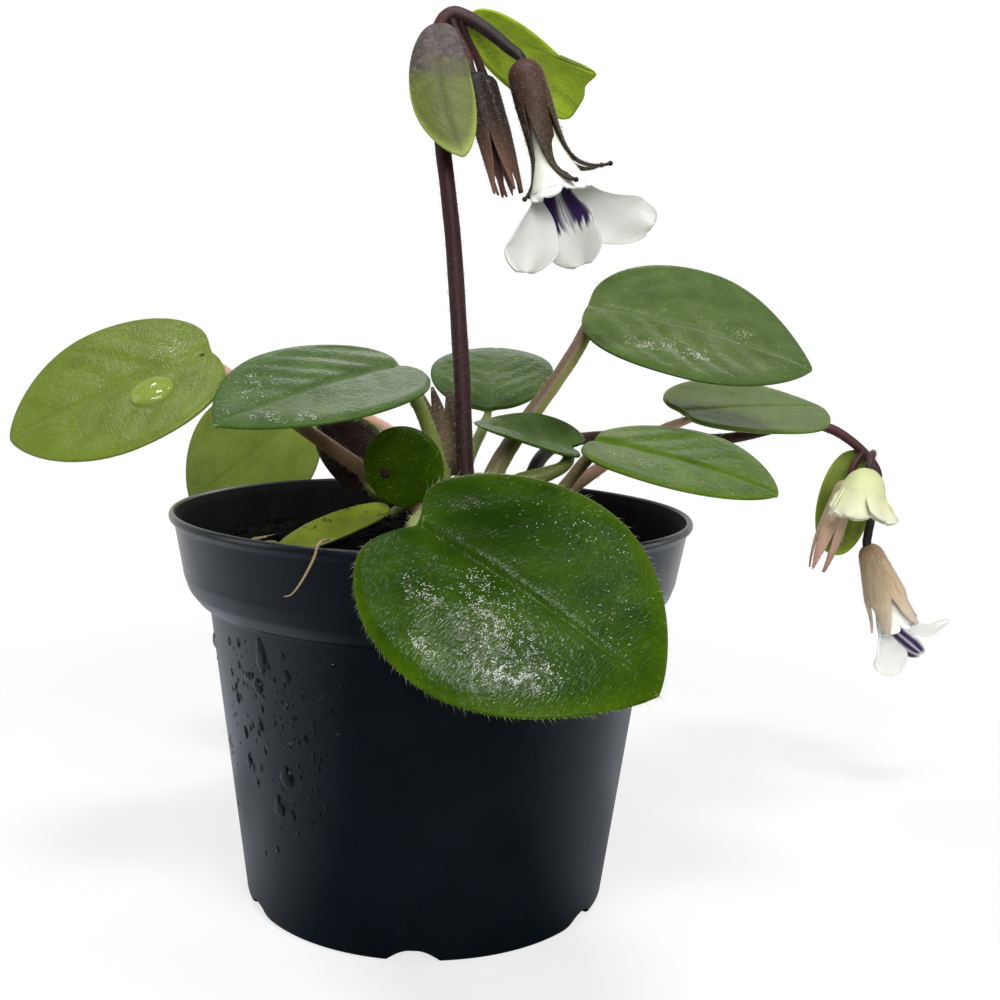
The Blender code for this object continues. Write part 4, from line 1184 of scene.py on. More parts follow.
count = dress_leaf(front, [SHADED_GREEN, GREEN_UNDER], "leaf_green", 0.12, 220, 60, edge_hair=1.35)
count += dress_leaf(far_left, [BACKLIT_GREEN, PALE_UNDER], "leaf_pale", 0.15, edge_hair=0.4)
count += dress_leaf(left, [SHEEN_GREEN, GREEN_UNDER], "leaf_green", 0.20, edge_hair=0.4)
count += dress_leaf(back_left, [BACKLIT_GREEN, PALE_UNDER], "leaf_pale", 0.15, edge_hair=0.5)
count += dress_leaf(back, [SHEEN_GREEN, GREEN_UNDER], "leaf_green", 0.20, 140, 40, edge_hair=0.4)
count += dress_leaf(right, [MID_GREEN, GREEN_UNDER], "leaf_green", 0.20, edge_hair=0.5)
count += dress_leaf(top_right, [TOP_SHEEN_GREEN, PALE_UNDER], "leaf_green", 0.20, edge_hair=0.35)
count += dress_leaf(back_right, [BACKLIT_PALE_GREEN, PALE_UNDER], "leaf_pale", 0.10, edge_hair=0.4)
# patches of painted highlight, where the leaves catch the lamps
count += glints(front, [(23, -15.5, 1.3, 1, 260), (26, -14, 1.3, 1, 300), (29, -12, 1.3, 1, 320),
                        (32, -9.5, 1.3, 1.2, 200), (15, -4, 2.5, 2, 300), (20, -8, 3, 3, 600),
                        (24, -10, 3.5, 3, 620), (-1, -7, 1.6, 1.6, 320), (9, -10, 2.5, 1, 280),
                        (14, -17.6, 2.5, 0.8, 300), (22, 17, 5, 2.5, 90), (32, 3, 3, 4, 110),
                        (14, 15, 4, 3, 40)])
count += glints(left, [(24, -11, 3, 1.2, 90), (27, -6, 3, 1.2, 160), (30, -2, 2.5, 1, 90),
                       (31, 5, 1, 3, 80), (27, 12, 1.2, 1.5, 80), (18, 16.3, 3, 0.6, 110),
                       (22, -2, 8, 6, 40)])
count += glints(far_left, [(5, -4, 1.8, 1.3, 170), (3, 8, 1.5, 1.2, 50), (20, 0, 8, 6, 20)])
count += glints(right, [(9, -7.5, 4, 1.2, 40), (19, -9, 5, 1.2, 40), (16, 2, 7, 5, 20)])
count += glints(top_right, [(12, -12.5, 2.2, 1.2, 190), (20.5, -10, 2.8, 1.2, 240),
                            (23, -12.5, 2.5, 1, 140), (30, 3, 1.5, 1.5, 70), (20, -3, 6, 5, 40)])
count += glints(back, [(3, -3, 2, 2, 20), (3, 5, 2, 2, 20)])
print("hairs on the outer leaves", count)

# %% [markdown]
# ## The young leaves
# Four small leaves stand close to the crown: a curled one, a round one that faces the viewer, a narrow
# yellow-green one with brown flecks, and a woolly brown one. The same blade rule draws them, on a coarser
# grid, and only the narrow one and the brown one need finishes of their own.

# %% Young leaves
def spotted_finish():
    """The narrow young leaf is yellow-green, with brown flecks."""
    finish, tree, shader = new_finish("leaf_yellow_green", 0.45, Specular_IOR_Level=0.4,
                                      Subsurface_Weight=0.2, Subsurface_Radius=(0.8, 1.0, 0.2),
                                      Subsurface_Scale=0.001)
    place = object_place(tree)
    tone = noise_of(tree, place, 160.0, 4.0)
    body = ramp(tree, tone, (0.3, (0.13, 0.18, 0.010)), (0.7, (0.25, 0.31, 0.020)))
    flecks = levels(tree, noise_of(tree, place, 520.0, 3.0, 0.6), 0.60, 0.66)
    body = mixed(tree, flecks, body, (0.06, 0.05, 0.012))
    wire(tree, shader, body, bumped(tree, noise_of(tree, place, 700.0, 3.0), 0.12))
    return finish


YELLOW_GREEN = spotted_finish()
BROWN_SKIN = leaf_finish("leaf_brown", (0.014, 0.008, 0.007), (0.045, 0.028, 0.024), (0.090, 0.060, 0.048),
                         (0.150, 0.200, 0.040), grain=0.14)
curled = Blade("leaf_curled", (26.7, 4.8, 89.9), 172, 12, -25, 19.5, 14.6, cup=0.30, arch=0.0, twist=0.1,
               lobe=0.2, thickness=YOUNG, pitch=4.0, quilt=0.03)
young_round = Blade("leaf_young_round", (-2.5, -17.5, 81.5), 185, 62, 80, 14.5, 14.5, cup=0.10, arch=0.05,
                    tip=1.0, shoulder=0.9, lobe=0.05, thickness=YOUNG, face=-1.0, pitch=3.6, quilt=0.02)
young_narrow = Blade("leaf_young_narrow", (-8.5, -14.0, 79.5), 208, -16, -30, 24, 6.5, cup=0.1, arch=0.05,
                     tip=1.2, lobe=0.0, thickness=YOUNG, quilt=0.02)
young_brown = Blade("leaf_young_brown", (-12.5, 5.0, 80.5), 178, 55, 75, 17, 14, cup=0.45, arch=0.05,
                    tip=1.2, lobe=0.0, thickness=YOUNG, pitch=3.6, quilt=0.03)
count = dress_leaf(curled, [SHEEN_GREEN, GREEN_UNDER], "leaf_green", 0.4, 120, 40, edge_hair=0.6)
count += dress_leaf(young_round, [SHADED_GREEN, GREEN_UNDER], "leaf_green", 0.5, 120, 44, 0.45)
count += dress_leaf(young_narrow, [YELLOW_GREEN, YELLOW_GREEN], "leaf_young", 0.6, 110, 30, edge_hair=0.4)
count += dress_leaf(young_brown, [BROWN_SKIN, BROWN_SKIN], "leaf_brown", 2.0, 120, 40, edge_hair=0.6)
print("hairs on the young leaves", count)

# %% [markdown]
# ## A drop and a pit
# One large drop lies on the far left leaf, beside its midrib, and the round young leaf has a small pit,
# whose dark brown is painted shade. Both are shallow domes whose foot follows the blade, so their grid is
# placed on the leaf's own surface and only the middle is raised. The drop is partly see-through and shines,
# and its bright green paints the light that it gathers like a lens.

# %% Domes on leaves
def clear_finish():
    finish, tree, shader = new_finish("clear_drop_painted_lens_light", 0.04, Specular_IOR_Level=1.0, Alpha=0.36)
    tone = noise_of(tree, object_place(tree), 300.0)
    # painted light: bright green for the light gathered through the drop
    wire(tree, shader, ramp(tree, tone, (0.0, (0.34, 0.46, 0.06)), (1.0, (0.46, 0.60, 0.10))))
    return finish


def pit_finish():
    finish, tree, shader = new_finish("pit_painted_shade", 0.7, Specular_IOR_Level=0.2)
    tone = noise_of(tree, object_place(tree), 1500.0)
    # painted shade: a dark brown for the shade in the pit
    wire(tree, shader, ramp(tree, tone, (0.3, (0.006, 0.005, 0.002)), (0.7, (0.030, 0.020, 0.008))))
    return finish


def dome(name, blade, middle, halves, rise_by, finish):
    """A dome on the blade: halves are its half-length and half-width, all in millimetres."""

    def place(u, v):
        turn, share = math.tau * u, v * 2 if v <= 0.5 else (1 - v) * 2
        x = middle[0] + halves[0] * share * math.cos(turn)
        y = middle[1] + halves[1] * share * math.sin(turn)
        height = rise_by * math.sqrt(max(1 - share ** 2.4, 0.0)) if v <= 0.5 else -0.15
        rise, _ = blade.relief(x, y, 0.5)
        return blade.place(x, y, rise + blade.thickness / 2 + height), (u, v), ()

    return add_piece(name, skin(64, 40, place, closed=True), [finish])


dome("leaf_drop", far_left, (11.5, 5.2), (4.2, 3.6), 1.8, clear_finish())
dome("leaf_pit", young_round, (7.2, -3.6), (1.1, 0.9), 0.12, pit_finish())
print("drop and pit made")

# %% [markdown]
# ## Petioles
# A petiole leaves the crown, rises in a cubic curve and runs on under the blade as its midrib. Most are
# green, and the lowest are pinkish brown. They are hairy all round. A tube of changing thickness gives the
# form, and its finish runs from foot to head with another colour underneath.

# %% Petiole finishes
PETIOLE_GREEN = stalk_finish("petiole_green", (0.150, 0.190, 0.045), (0.210, 0.260, 0.060),
                             (0.26, 0.31, 0.09), (0.32, 0.34, 0.14))
PETIOLE_TWO_TONE = stalk_finish("petiole_two_tone", (0.200, 0.190, 0.080), (0.180, 0.110, 0.070),
                                (0.34, 0.36, 0.08), (0.30, 0.24, 0.16), belly_share=1.0)
PETIOLE_PINK = stalk_finish("petiole_pink", (0.440, 0.230, 0.160), (0.500, 0.300, 0.210),
                            (0.33, 0.24, 0.12), (0.50, 0.36, 0.26), belly_share=0.4)
PETIOLE_BROWN = stalk_finish("petiole_brown", (0.130, 0.085, 0.045), (0.170, 0.120, 0.065),
                             (0.20, 0.21, 0.07), (0.34, 0.28, 0.18), belly_share=0.7)
PETIOLE_LOW, PETIOLE_MIDDLE, PETIOLE_HIGH = 73.4, 77.6, 81.8
PETIOLE_PULL = 0.30
CROWN_SPACE = 0.5             # from the crown's skin to the start of a petiole
SEAT = 0.3                    # the solids' gap between a petiole and its blade


def crown_side(heading, z, stand_off):
    return point(CROWN.x, CROWN.y, z) + heading_vector(heading) * mm(CROWN_RADIUS + stand_off)


print("petioles leave the crown at", PETIOLE_LOW, PETIOLE_MIDDLE, PETIOLE_HIGH, "mm")

# %% Petiole rule
def petiole_line(blade, heading, z, end_radius, lift, follow):
    """Centre line from inside the crown to the blade, then on under its midrib."""
    start = crown_side(heading, z, CROWN_SPACE)
    chord = blade.base - start
    arrive = (blade.along * follow + chord.normalized() * (1 - follow)).normalized()
    rim = end_radius * math.sqrt(1.0 - arrive.dot(blade.normal) ** 2)
    drop = blade.normal * -blade.face * mm(blade.thickness / 2 + SEAT + rim)
    end = blade.base + drop - blade.along * mm(0.5)
    first = start + heading_vector(heading, lift) * chord.length * PETIOLE_PULL
    second = end - arrive * chord.length * PETIOLE_PULL
    line = [start - heading_vector(heading) * mm(3.0), start]
    for index in range(1, 25):
        t = index / 24
        line.append(start * (1 - t) ** 3 + first * 3 * t * (1 - t) ** 2 + second * 3 * t * t * (1 - t)
                    + end * t ** 3)
    for distance, depth in ((2.0, 0.9), (5.0, 0.75), (9.0, 0.6)):
        reach = min(distance, blade.length * 0.5)
        line.append(blade.place(reach, 0.0, -depth - 0.35))
    return line


def dress_petiole(blade, heading, z, radii, finish, lift=35.0, follow=0.5, fur=1.0):
    name = blade.name.replace("leaf", "petiole")
    line = petiole_line(blade, heading, z, radii[1], lift, follow)
    widths = [radii[0] * 1.12, radii[0], (radii[0] + radii[1]) / 2, radii[1], radii[1], radii[1] * 0.45]
    piece = add_piece(name + "_stalk", stalk_skin(line, widths, 22, 0.05, blade.seed), [finish], name)
    length = sum((b - a).length for a, b in zip(line, line[1:])) * 1000.0
    stems = scattered(piece, int(length * 14 * fur), 1.0, int(blade.seed * 3), 1.0,
                      lambda place: blade.along * 0.2, -0.1)
    hairs(name + "_fur", stems, 0.030, SILVER_HAIR)
    return len(stems)


print("petiole rule ready")

# %% Twelve petioles
count = dress_petiole(front, -102, PETIOLE_LOW, (1.9, 1.3), PETIOLE_GREEN)
count += dress_petiole(far_left, 182, PETIOLE_LOW, (1.8, 1.3), PETIOLE_PINK, follow=0.0)
count += dress_petiole(left, 225, PETIOLE_MIDDLE, (1.6, 1.3), PETIOLE_GREEN, lift=55)
count += dress_petiole(back_left, 120, PETIOLE_LOW, (1.7, 1.2), PETIOLE_PINK, follow=0.7)
count += dress_petiole(back, 118, PETIOLE_MIDDLE, (1.6, 1.1), PETIOLE_GREEN, lift=60)
count += dress_petiole(curled, 5, PETIOLE_HIGH, (1.9, 1.3), PETIOLE_GREEN)
count += dress_petiole(right, -22, PETIOLE_LOW, (1.8, 1.2), PETIOLE_BROWN, 15, 0.1)
count += dress_petiole(top_right, 78, PETIOLE_MIDDLE, (2.0, 1.6), PETIOLE_TWO_TONE, 50,
                       -0.25)
count += dress_petiole(back_right, 38, PETIOLE_LOW, (1.7, 1.2), PETIOLE_PINK, lift=12)
count += dress_petiole(young_round, 282, PETIOLE_HIGH, (1.3, 0.9), PETIOLE_GREEN)
count += dress_petiole(young_narrow, 193, (PETIOLE_MIDDLE + PETIOLE_HIGH) / 2, (1.0, 0.8), PETIOLE_GREEN,
                       lift=10)
count += dress_petiole(young_brown, 158, PETIOLE_MIDDLE, (1.3, 0.9), PETIOLE_GREEN,
                       lift=10)
print("hairs on the petioles", count)

# %% [markdown]
# ## The crown
# The crown is a short stout stem, ringed by the scars of old leaves. It is nearly hidden, so a lumpy
# closed tube with a domed top does.

# %% Crown
CROWN_FOOT_Z, CROWN_TOP_Z = 52.0, 84.5


def crown_place(u, v):
    turn = math.tau * u
    z = CROWN_FOOT_Z + (CROWN_TOP_Z - CROWN_FOOT_Z) * v
    narrow = math.sqrt(max(1 - max((v - 0.86) / 0.14, 0.0) ** 2, 0.0)) * min(v / 0.1, 1.0)
    out = heading_vector(math.degrees(turn))
    lump = 0.10 * noise.noise(out * 2.0 + Vector((0, 0, z / 3.0))) - 0.05 * abs(math.sin(z * 1.1))
    where = point(CROWN.x, CROWN.y, z) + out * mm(CROWN_RADIUS * narrow * (0.97 + lump))
    return where, (u, z / 50.0), (v, 0.5)


crown = add_piece("crown_stem", skin(60, 60, crown_place, ("along", "upper"), closed=True), [PETIOLE_GREEN],
                  "crown")
stems = scattered(crown, 700, 1.2, 21, 1.0, None, -0.1, keep=lambda place: place.z > mm(70))
hairs("crown_fur", stems, 0.035, SILVER_HAIR)
print("crown fur", len(stems))

# %% [markdown]
# ## Flowers
# A flower is a tube that opens into five lobes. The same rule draws a corolla and a calyx: a closed base,
# a tube that swells, and lobes that lean out, swing round the axis and turn about their own length. The
# finer grid only adds rows and columns, and a light ripple in the petals.

# %% Flower
class Flower:
    """A tube that opens into lobes; a lobe is (angle, length, flare, half-width, swing, turn)."""

    def __init__(self, name, base, axis, tube_length, radii, lobes, petals=False, closed=True, swell=1.0,
                 ripple=0.0, wall=0.45, bend=1.6, point_width=0.22, taper=1.8):
        self.name, self.base = name, point(*base)
        self.axis = Vector(axis).normalized()
        self.right = (Vector((1, 0, 0)) - self.axis * self.axis.x).normalized()
        self.away = self.right.cross(self.axis)
        self.tube_length, self.radii, self.lobes, self.swell = tube_length, radii, lobes, swell
        self.petals, self.closed, self.ripple, self.wall = petals, closed, ripple, wall
        self.bend, self.point_width, self.taper = bend, point_width, taper

    def radius(self, share):
        start, end = self.radii
        full = start + (end - start) * share ** self.swell
        if not self.closed:
            return full
        rise = min(share * self.tube_length / start, 1.0)
        return full * math.sqrt(1.0 - (1.0 - rise) ** 2)

    def outward(self, angle):
        a = math.radians(angle)
        return self.right * math.cos(a) + self.away * math.sin(a)

    def lobe_width(self, share, root, widest):
        if self.petals:
            full = root + (widest - root) * math.sin(math.pi / 2 * min(share / 0.62, 1.0))
            full *= 1.0 + self.ripple * 0.10 * math.sin(share * 11.0 + widest * 7.0)
            return full * math.sqrt(max(1.0 - (max(share - 0.60, 0.0) / 0.42) ** 2, 0.04))
        narrow = widest + (root - widest) * max(1.0 - share / 0.25, 0.0)
        return narrow * (1.0 - (1.0 - self.point_width) * share ** self.taper)

    def tube_point(self, lobe, across, share):
        out = self.outward(lobe[0] + across * 180.0 / len(self.lobes))
        return self.base + self.axis * mm(self.tube_length * share) + out * mm(self.radius(share))

    def lobe_point(self, lobe, across, share):
        angle, length, flare, widest, swing, turn = lobe
        half_sector = math.pi / len(self.lobes)
        out = self.outward(angle + swing * min(share * 2.0, 1.0))
        side = out.cross(self.axis)
        lean = math.radians(flare) * share ** (0.6 if self.petals else self.bend)
        forward = self.axis * math.cos(lean) + out * math.sin(lean)
        twist = math.radians(turn) * min(share * 1.5, 1.0)
        side = side * math.cos(twist) + forward.cross(side) * math.sin(twist)
        curl = self.radii[1] * (1 - math.cos(across * half_sector)) * (1 - share)
        rim = self.outward(angle) * mm(self.radii[1] - curl)
        half = self.lobe_width(share, self.radii[1] * math.sin(half_sector), widest)
        wave = self.ripple * math.sin(across * 4.2 + angle) * share * (1 - 0.3 * share)
        centre = self.base + self.axis * mm(self.tube_length) + rim
        where = centre + forward * mm(length * share) + side * mm(across * half)
        return where + forward.cross(side) * mm(wave)

    def build(self, finish, slot, columns=18, tube_steps=24, lobe_steps=30, stripes=None):
        rows = tube_steps + lobe_steps
        parts = []
        for number, lobe in enumerate(self.lobes):

            def place(u, v, lobe=lobe, number=number):
                across, row = u * 2 - 1, round(v * rows)
                tube_share = min(row / tube_steps, 1.0)
                share = max((row - tube_steps) / lobe_steps, 0.0)
                if share > 0.0:
                    where = self.lobe_point(lobe, across, share)
                else:
                    curved = tube_share ** 1.6 if self.closed else tube_share
                    where = self.tube_point(lobe, across, curved)
                purple = stripes(number, across, tube_share, share) if stripes else 0.0
                return where, (u, v), (v, share, across, purple)

            parts.append(skin(columns, rows, place, ("along", "reach", "across", "stripe")))
        whole = gathered(parts)
        bmesh.ops.remove_doubles(whole, verts=whole.verts, dist=mm(0.02))
        bmesh.ops.recalc_face_normals(whole, faces=whole.faces)
        piece = add_piece(self.name + "_bloom", whole, [finish], self.name)
        wall = piece.modifiers.new("thickness", "SOLIDIFY")
        wall.thickness = mm(self.wall)
        wall.offset = 0.0
        return piece


def from_end(top, axis, distance):
    """Point at a distance from a stalk's end along a flower's axis."""
    step = Vector(axis).normalized() * distance
    return tuple(value + shift for value, shift in zip(top, step))


print("flower rule ready")

# %% [markdown]
# ## The flowers' finishes
# A sepal is dull and furry and changes colour along its length, so its finish is a ramp along the mesh,
# blurred by streaks. A petal is thin and lets some light through. Its purple is drawn by the mesh too: each
# flower says how strong it is at a point, which keeps the bands on the right lobe.

# %% Flower finishes
def sepal_finish(name, base, middle, tip, speck, roughness=0.6):
    """A sepal's colour along its length, with the streaks of its fur."""
    finish, tree, shader = new_finish(name, roughness, Specular_IOR_Level=0.35)
    place = object_place(tree)
    streak = noise_of(tree, stretched(tree, surface_place(tree), (14.0, 3.0, 1.0)), 2.0, 4.0)
    along = calculate(tree, "ADD", value_of(tree, "along"), levels(tree, streak, 0.3, 0.7, -0.12, 0.12))
    body = ramp(tree, along, (0.10, base), (0.50, middle), (0.92, tip))
    flecks = levels(tree, noise_of(tree, place, 2200.0, 2.0), 0.58, 0.70, 0.0, 0.7)
    body = mixed(tree, flecks, body, speck)
    wire(tree, shader, body, bumped(tree, noise_of(tree, place, 1500.0, 3.0), 0.12))
    return finish


def petal_finish(name, throat, body_colour, edge, purple=(0.030, 0.008, 0.085)):
    """A thin petal: its throat, its body and its edge, with purple where the mesh says so."""
    finish, tree, shader = new_finish(name, 0.42, Specular_IOR_Level=0.30, Subsurface_Weight=0.10,
                                      Subsurface_Radius=(1.0, 0.9, 0.8), Subsurface_Scale=0.0006)
    place = object_place(tree)
    body = ramp(tree, value_of(tree, "along"), (0.15, throat), (0.60, body_colour), (0.98, edge))
    tone = levels(tree, noise_of(tree, place, 380.0, 4.0), 0.35, 0.65, 0.0, 0.16)
    body = mixed(tree, tone, body, tuple(part * 0.88 for part in body_colour))
    body = mixed(tree, value_of(tree, "stripe"), body, purple)
    veins = noise_of(tree, stretched(tree, surface_place(tree), (26.0, 1.5, 1.0)), 2.0, 3.0)
    wire(tree, shader, body, bumped(tree, veins, 0.12))
    return finish


MAROON_SEPAL = sepal_finish("calyx_maroon", (0.060, 0.020, 0.014), (0.042, 0.022, 0.010),
                            (0.030, 0.021, 0.009), (0.15, 0.10, 0.06))
BROWN_SEPAL = sepal_finish("calyx_brown", (0.005, 0.0025, 0.0025), (0.017, 0.008, 0.005),
                           (0.160, 0.075, 0.053), (0.11, 0.06, 0.045))
BEIGE_SEPAL = sepal_finish("calyx_beige", (0.260, 0.170, 0.090), (0.580, 0.460, 0.300),
                           (0.520, 0.440, 0.360), (0.52, 0.42, 0.30))
PINK_SEPAL = sepal_finish("calyx_pink", (0.420, 0.360, 0.160), (0.560, 0.380, 0.280),
                          (0.380, 0.200, 0.160), (0.66, 0.52, 0.40))
BROWN_BUD = sepal_finish("bud_brown", (0.120, 0.110, 0.040), (0.150, 0.100, 0.060),
                         (0.085, 0.055, 0.040), (0.34, 0.30, 0.20))
WHITE_PETAL = petal_finish("petal_white", (0.80, 0.82, 0.62), (0.95, 0.95, 0.93), (0.93, 0.94, 0.86))
CREAM_PETAL = petal_finish("petal_cream", (0.58, 0.62, 0.28), (0.70, 0.71, 0.44), (0.74, 0.74, 0.56))
print("flower finishes ready")

# %% [markdown]
# ## The open flower
# It hangs from the tall stalk: a white tube that widens to its mouth, two lobes to the sides and one on
# the far side, and short stubs of the last two. Two broad purple bands run out of its throat, with thin
# ones between them. Five long dark sepals spread from the tube, and each ends in a tiny dark bead. The
# beads have the flower stalk's finish, so it is mixed here.

# %% Open flower
MAROON_STALK = stalk_finish("scape_maroon", (0.006, 0.002, 0.002), (0.070, 0.013, 0.015),
                            (0.03, 0.012, 0.015), (0.080, 0.030, 0.030), 0.6, top=(0.012, 0.008, 0.008))
OPEN_TOP, OPEN_AXIS = (14.0, -7.0, 162.9), (8.0, -2.4, -24.5)
FLOWER_SEAT = 0.75
SEPAL_BEAD = 0.5              # radius of the dark bead at each sepal's end


def throat_bands(number, across, tube_share, share):
    """Purple on the far lobe and the wall behind it; returns its strength from 0 to 1."""
    if number != 0 or (share == 0.0 and tube_share < 0.45):
        return 0.0
    end = 0.50 + 0.06 * math.sin(across * 23.0) + 0.04 * math.sin(across * 51.0)
    broad = max(math.exp(-((across - c) / w) ** 8) for c, w in ((-0.60, 0.37), (0.51, 0.48)))
    thin = max(math.exp(-((across - c) / 0.04) ** 2) for c in (-0.19, -0.06)) * 0.8
    return max(broad, thin) * min(max((end - share) / 0.07, 0.0), 1.0)


def fur(piece, name, count, length, seed, finish, slot, lean=None, radius=0.034, both=True, keep=None):
    stems = scattered(piece, count, length, seed, 1.0, lean, 0.12, both, keep)
    return hairs(name, stems, radius, finish)


def make_open_flower():
    sepals = [(195, 17.0, 12, 1.7, -12, 0), (267, 17.5, 16, 2.0, 36, 0), (339, 16.5, 26, 1.9, 16, 0),
              (51, 16.0, 34, 1.6, -25, 0), (123, 16.0, 20, 1.8, 0, 0)]
    flower = Flower("calyx_open", from_end(OPEN_TOP, OPEN_AXIS, FLOWER_SEAT), OPEN_AXIS, 8.0, (3.0, 3.3),
                    sepals, bend=4.5, point_width=0.16, taper=2.6)
    calyx = flower.build(MAROON_SEPAL, "calyx_maroon", 12)
    bm = bmesh.new()
    bmesh.ops.create_icosphere(bm, subdivisions=2, radius=mm(SEPAL_BEAD))
    for lobe, bead in zip(sepals, copies(bm, len(sepals))):
        bmesh.ops.translate(bm, verts=bead, vec=flower.lobe_point(lobe, 0.0, 1.0))
    add_piece("calyx_open_tips", bm, [MAROON_STALK])
    fur(calyx, "calyx_open_fur", 1900, 1.0, 31, GREY_HAIR, "calyx_maroon",
        lambda place: Vector(OPEN_AXIS) * 0.02)
    petals = [(90, 14.0, 12, 6.0, -30, 0), (162, 13.5, 22, 5.3, 0, 60), (234, 1.5, 20, 3.3, 0, 0),
              (306, 1.5, 20, 3.3, 0, 0), (18, 15.5, 46, 5.7, 0, -60)]
    Flower("corolla_open", from_end(OPEN_TOP, OPEN_AXIS, FLOWER_SEAT + 2.6), OPEN_AXIS, 22.0, (1.4, 5.4),
           petals, petals=True, closed=False, swell=2.2, ripple=0.45).build(
               WHITE_PETAL, "petal_white", 46, 36, 40, throat_bands)


make_open_flower()
print("open flower made")

# %% [markdown]
# ## Closed calyces
# Beside the open flower hang two calyces whose flowers haven't opened or have dropped: five slim dark
# sepals that hang nearly together. The flower rule draws them as well, with no petals and with lobes that
# hardly lean out.

# %% Closed calyces
FIRST_TOP, FIRST_AXIS = (4.9, -7.7, 160.2), (7.2, -1.0, -22.6)
SECOND_TOP, SECOND_AXIS = (7.2, -2.9, 160.6), (6.6, 1.4, -22.0)


def five_sepals(length, flares, half_width):
    return [(90 + 72 * index, length, flare, half_width, 0, 0) for index, flare in enumerate(flares)]


def dress_calyx(name, top, axis, tube_length, radii, sepals, finish, slot, hair, point_width=0.06):
    calyx = Flower(name, from_end(top, axis, FLOWER_SEAT), axis, tube_length, radii, sepals,
                   point_width=point_width).build(finish, slot, 10)
    fur(calyx, name + "_fur", 1300, 0.9, len(name) * 5, hair, slot, lambda place: Vector(axis) * 0.02)
    return calyx


for name, top, axis in (("calyx_first", FIRST_TOP, FIRST_AXIS), ("calyx_second", SECOND_TOP, SECOND_AXIS)):
    dress_calyx(name, top, axis, 6.5, (2.0, 2.2), five_sepals(16.0, (3, -3, 6, 2, -3), 1.6), BROWN_SEPAL,
                "calyx_maroon", GREY_HAIR)
print("two closed calyces")

# %% [markdown]
# ## The tall flower stalk
# The stalk is dark maroon, nearly black at its foot, with pale specks and a fine grey fur. It curls over
# at the top and splits into a short pedicel for each flower. A tube goes through its stations, and the two
# shorter pedicels start inside it and are gathered with it as one piece, because they grow as one.

# %% Tall stalk
MAIN_STATIONS = [(6.6, -6.3, 77.6), (6.5, -6.4, 79.4), (5.8, -6.6, 88.0), (4.6, -6.6, 106.0),
                 (2.4, -6.6, 130.0), (0.2, -6.6, 146.0), (-1.2, -6.6, 157.0), (-1.6, -6.6, 163.5),
                 (-0.6, -6.6, 168.4), (2.0, -6.6, 170.2), (7.0, -6.6, 168.0), (12.0, -6.7, 164.4), OPEN_TOP]
FIRST_PEDICEL = [(1.0, -6.6, 169.6), (2.4, -7.0, 166.5), (4.2, -7.5, 163.0), FIRST_TOP]
SECOND_PEDICEL = [(2.5, -6.6, 169.8), (3.9, -5.6, 166.5), (5.9, -3.9, 163.4), SECOND_TOP]
MAIN_RADII = (1.7, 1.65, 1.55, 1.45, 1.35, 1.3, 1.1, 0.85)


def stalk_line(stations, axis=None):
    """Smooth line through the stations, run on a little into the flower that hangs from it."""
    run_on = [from_end(stations[-1], axis, 1.6)] if axis else []
    return [point(*station) for station in curve_through(list(stations) + run_on)]


def make_tall_stalk():
    skins = [stalk_skin(stalk_line(MAIN_STATIONS, OPEN_AXIS), MAIN_RADII, 24, 0.05)]
    for number, (stations, axis) in enumerate(((FIRST_PEDICEL, FIRST_AXIS), (SECOND_PEDICEL, SECOND_AXIS))):
        skins.append(stalk_skin(stalk_line(stations, axis), (0.9, 0.75, 0.8, 1.1), 18, 0.06, number + 4.0))
    stalk = add_piece("scape_main_stalk", gathered(skins), [MAROON_STALK], "scape_main")
    fur(stalk, "scape_main_fur", 2000, 0.7, 41, GREY_HAIR, "scape_maroon", radius=0.022, both=False)
    return stalk


print("tall stalk faces", len(make_tall_stalk().data.polygons))

# %% [markdown]
# ## Bracts
# Bracts are small simple leaves where the pedicels leave the stalk. Two stand at the top of the tall stalk
# and one on the low stalk. They are yellow-green with darker veins, and greyer where they are furry. The
# right one has a hooked corner. They are drawn as leaf blades.

# %% Bracts
BRACT_FRESH = leaf_finish("bract_fresh", (0.120, 0.170, 0.022), (0.170, 0.225, 0.032),
                          (0.230, 0.290, 0.060), (0.340, 0.440, 0.030), roughness=0.5, grain=0.04,
                          glow=0.25)
# painted light: the inner face's yellow-green is made brighter, for light on a face turned from the lamps
BRACT_INNER_LIT = underside_finish("bract_inner_painted_light", (0.300, 0.430, 0.016), (0.190, 0.260, 0.014), 0.3)


def bract_finish_with_dark_end():
    """The left bract: purple-brown and woolly where it joins the stalk, green below."""
    finish, tree, shader = new_finish("bract_woolly", 0.55, Specular_IOR_Level=0.35,
                                      Subsurface_Weight=0.15, Subsurface_Radius=(0.6, 1.0, 0.2),
                                      Subsurface_Scale=0.001)
    place = object_place(tree)
    tone = noise_of(tree, place, 260.0, 4.0)
    green = ramp(tree, tone, (0.3, (0.085, 0.105, 0.014)), (0.7, (0.125, 0.145, 0.026)))
    veins = calculate(tree, "MULTIPLY", value_of(tree, "vein"), 0.8)
    green = mixed(tree, veins, green, (0.055, 0.072, 0.008))
    green = mixed(tree, value_of(tree, "rim"), green, (0.34, 0.42, 0.09))
    end = calculate(tree, "ADD", value_of(tree, "reach"), levels(tree, tone, 0.3, 0.7, -0.08, 0.08))
    wool = noise_of(tree, place, 900.0, 3.0)
    woolly = ramp(tree, wool, (0.3, (0.040, 0.026, 0.026)), (0.7, (0.105, 0.080, 0.074)))
    body = mixed(tree, levels(tree, end, 0.42, 0.20), green, woolly)
    wire(tree, shader, body, bumped(tree, noise_of(tree, place, 1200.0, 3.0), 0.12))
    return finish


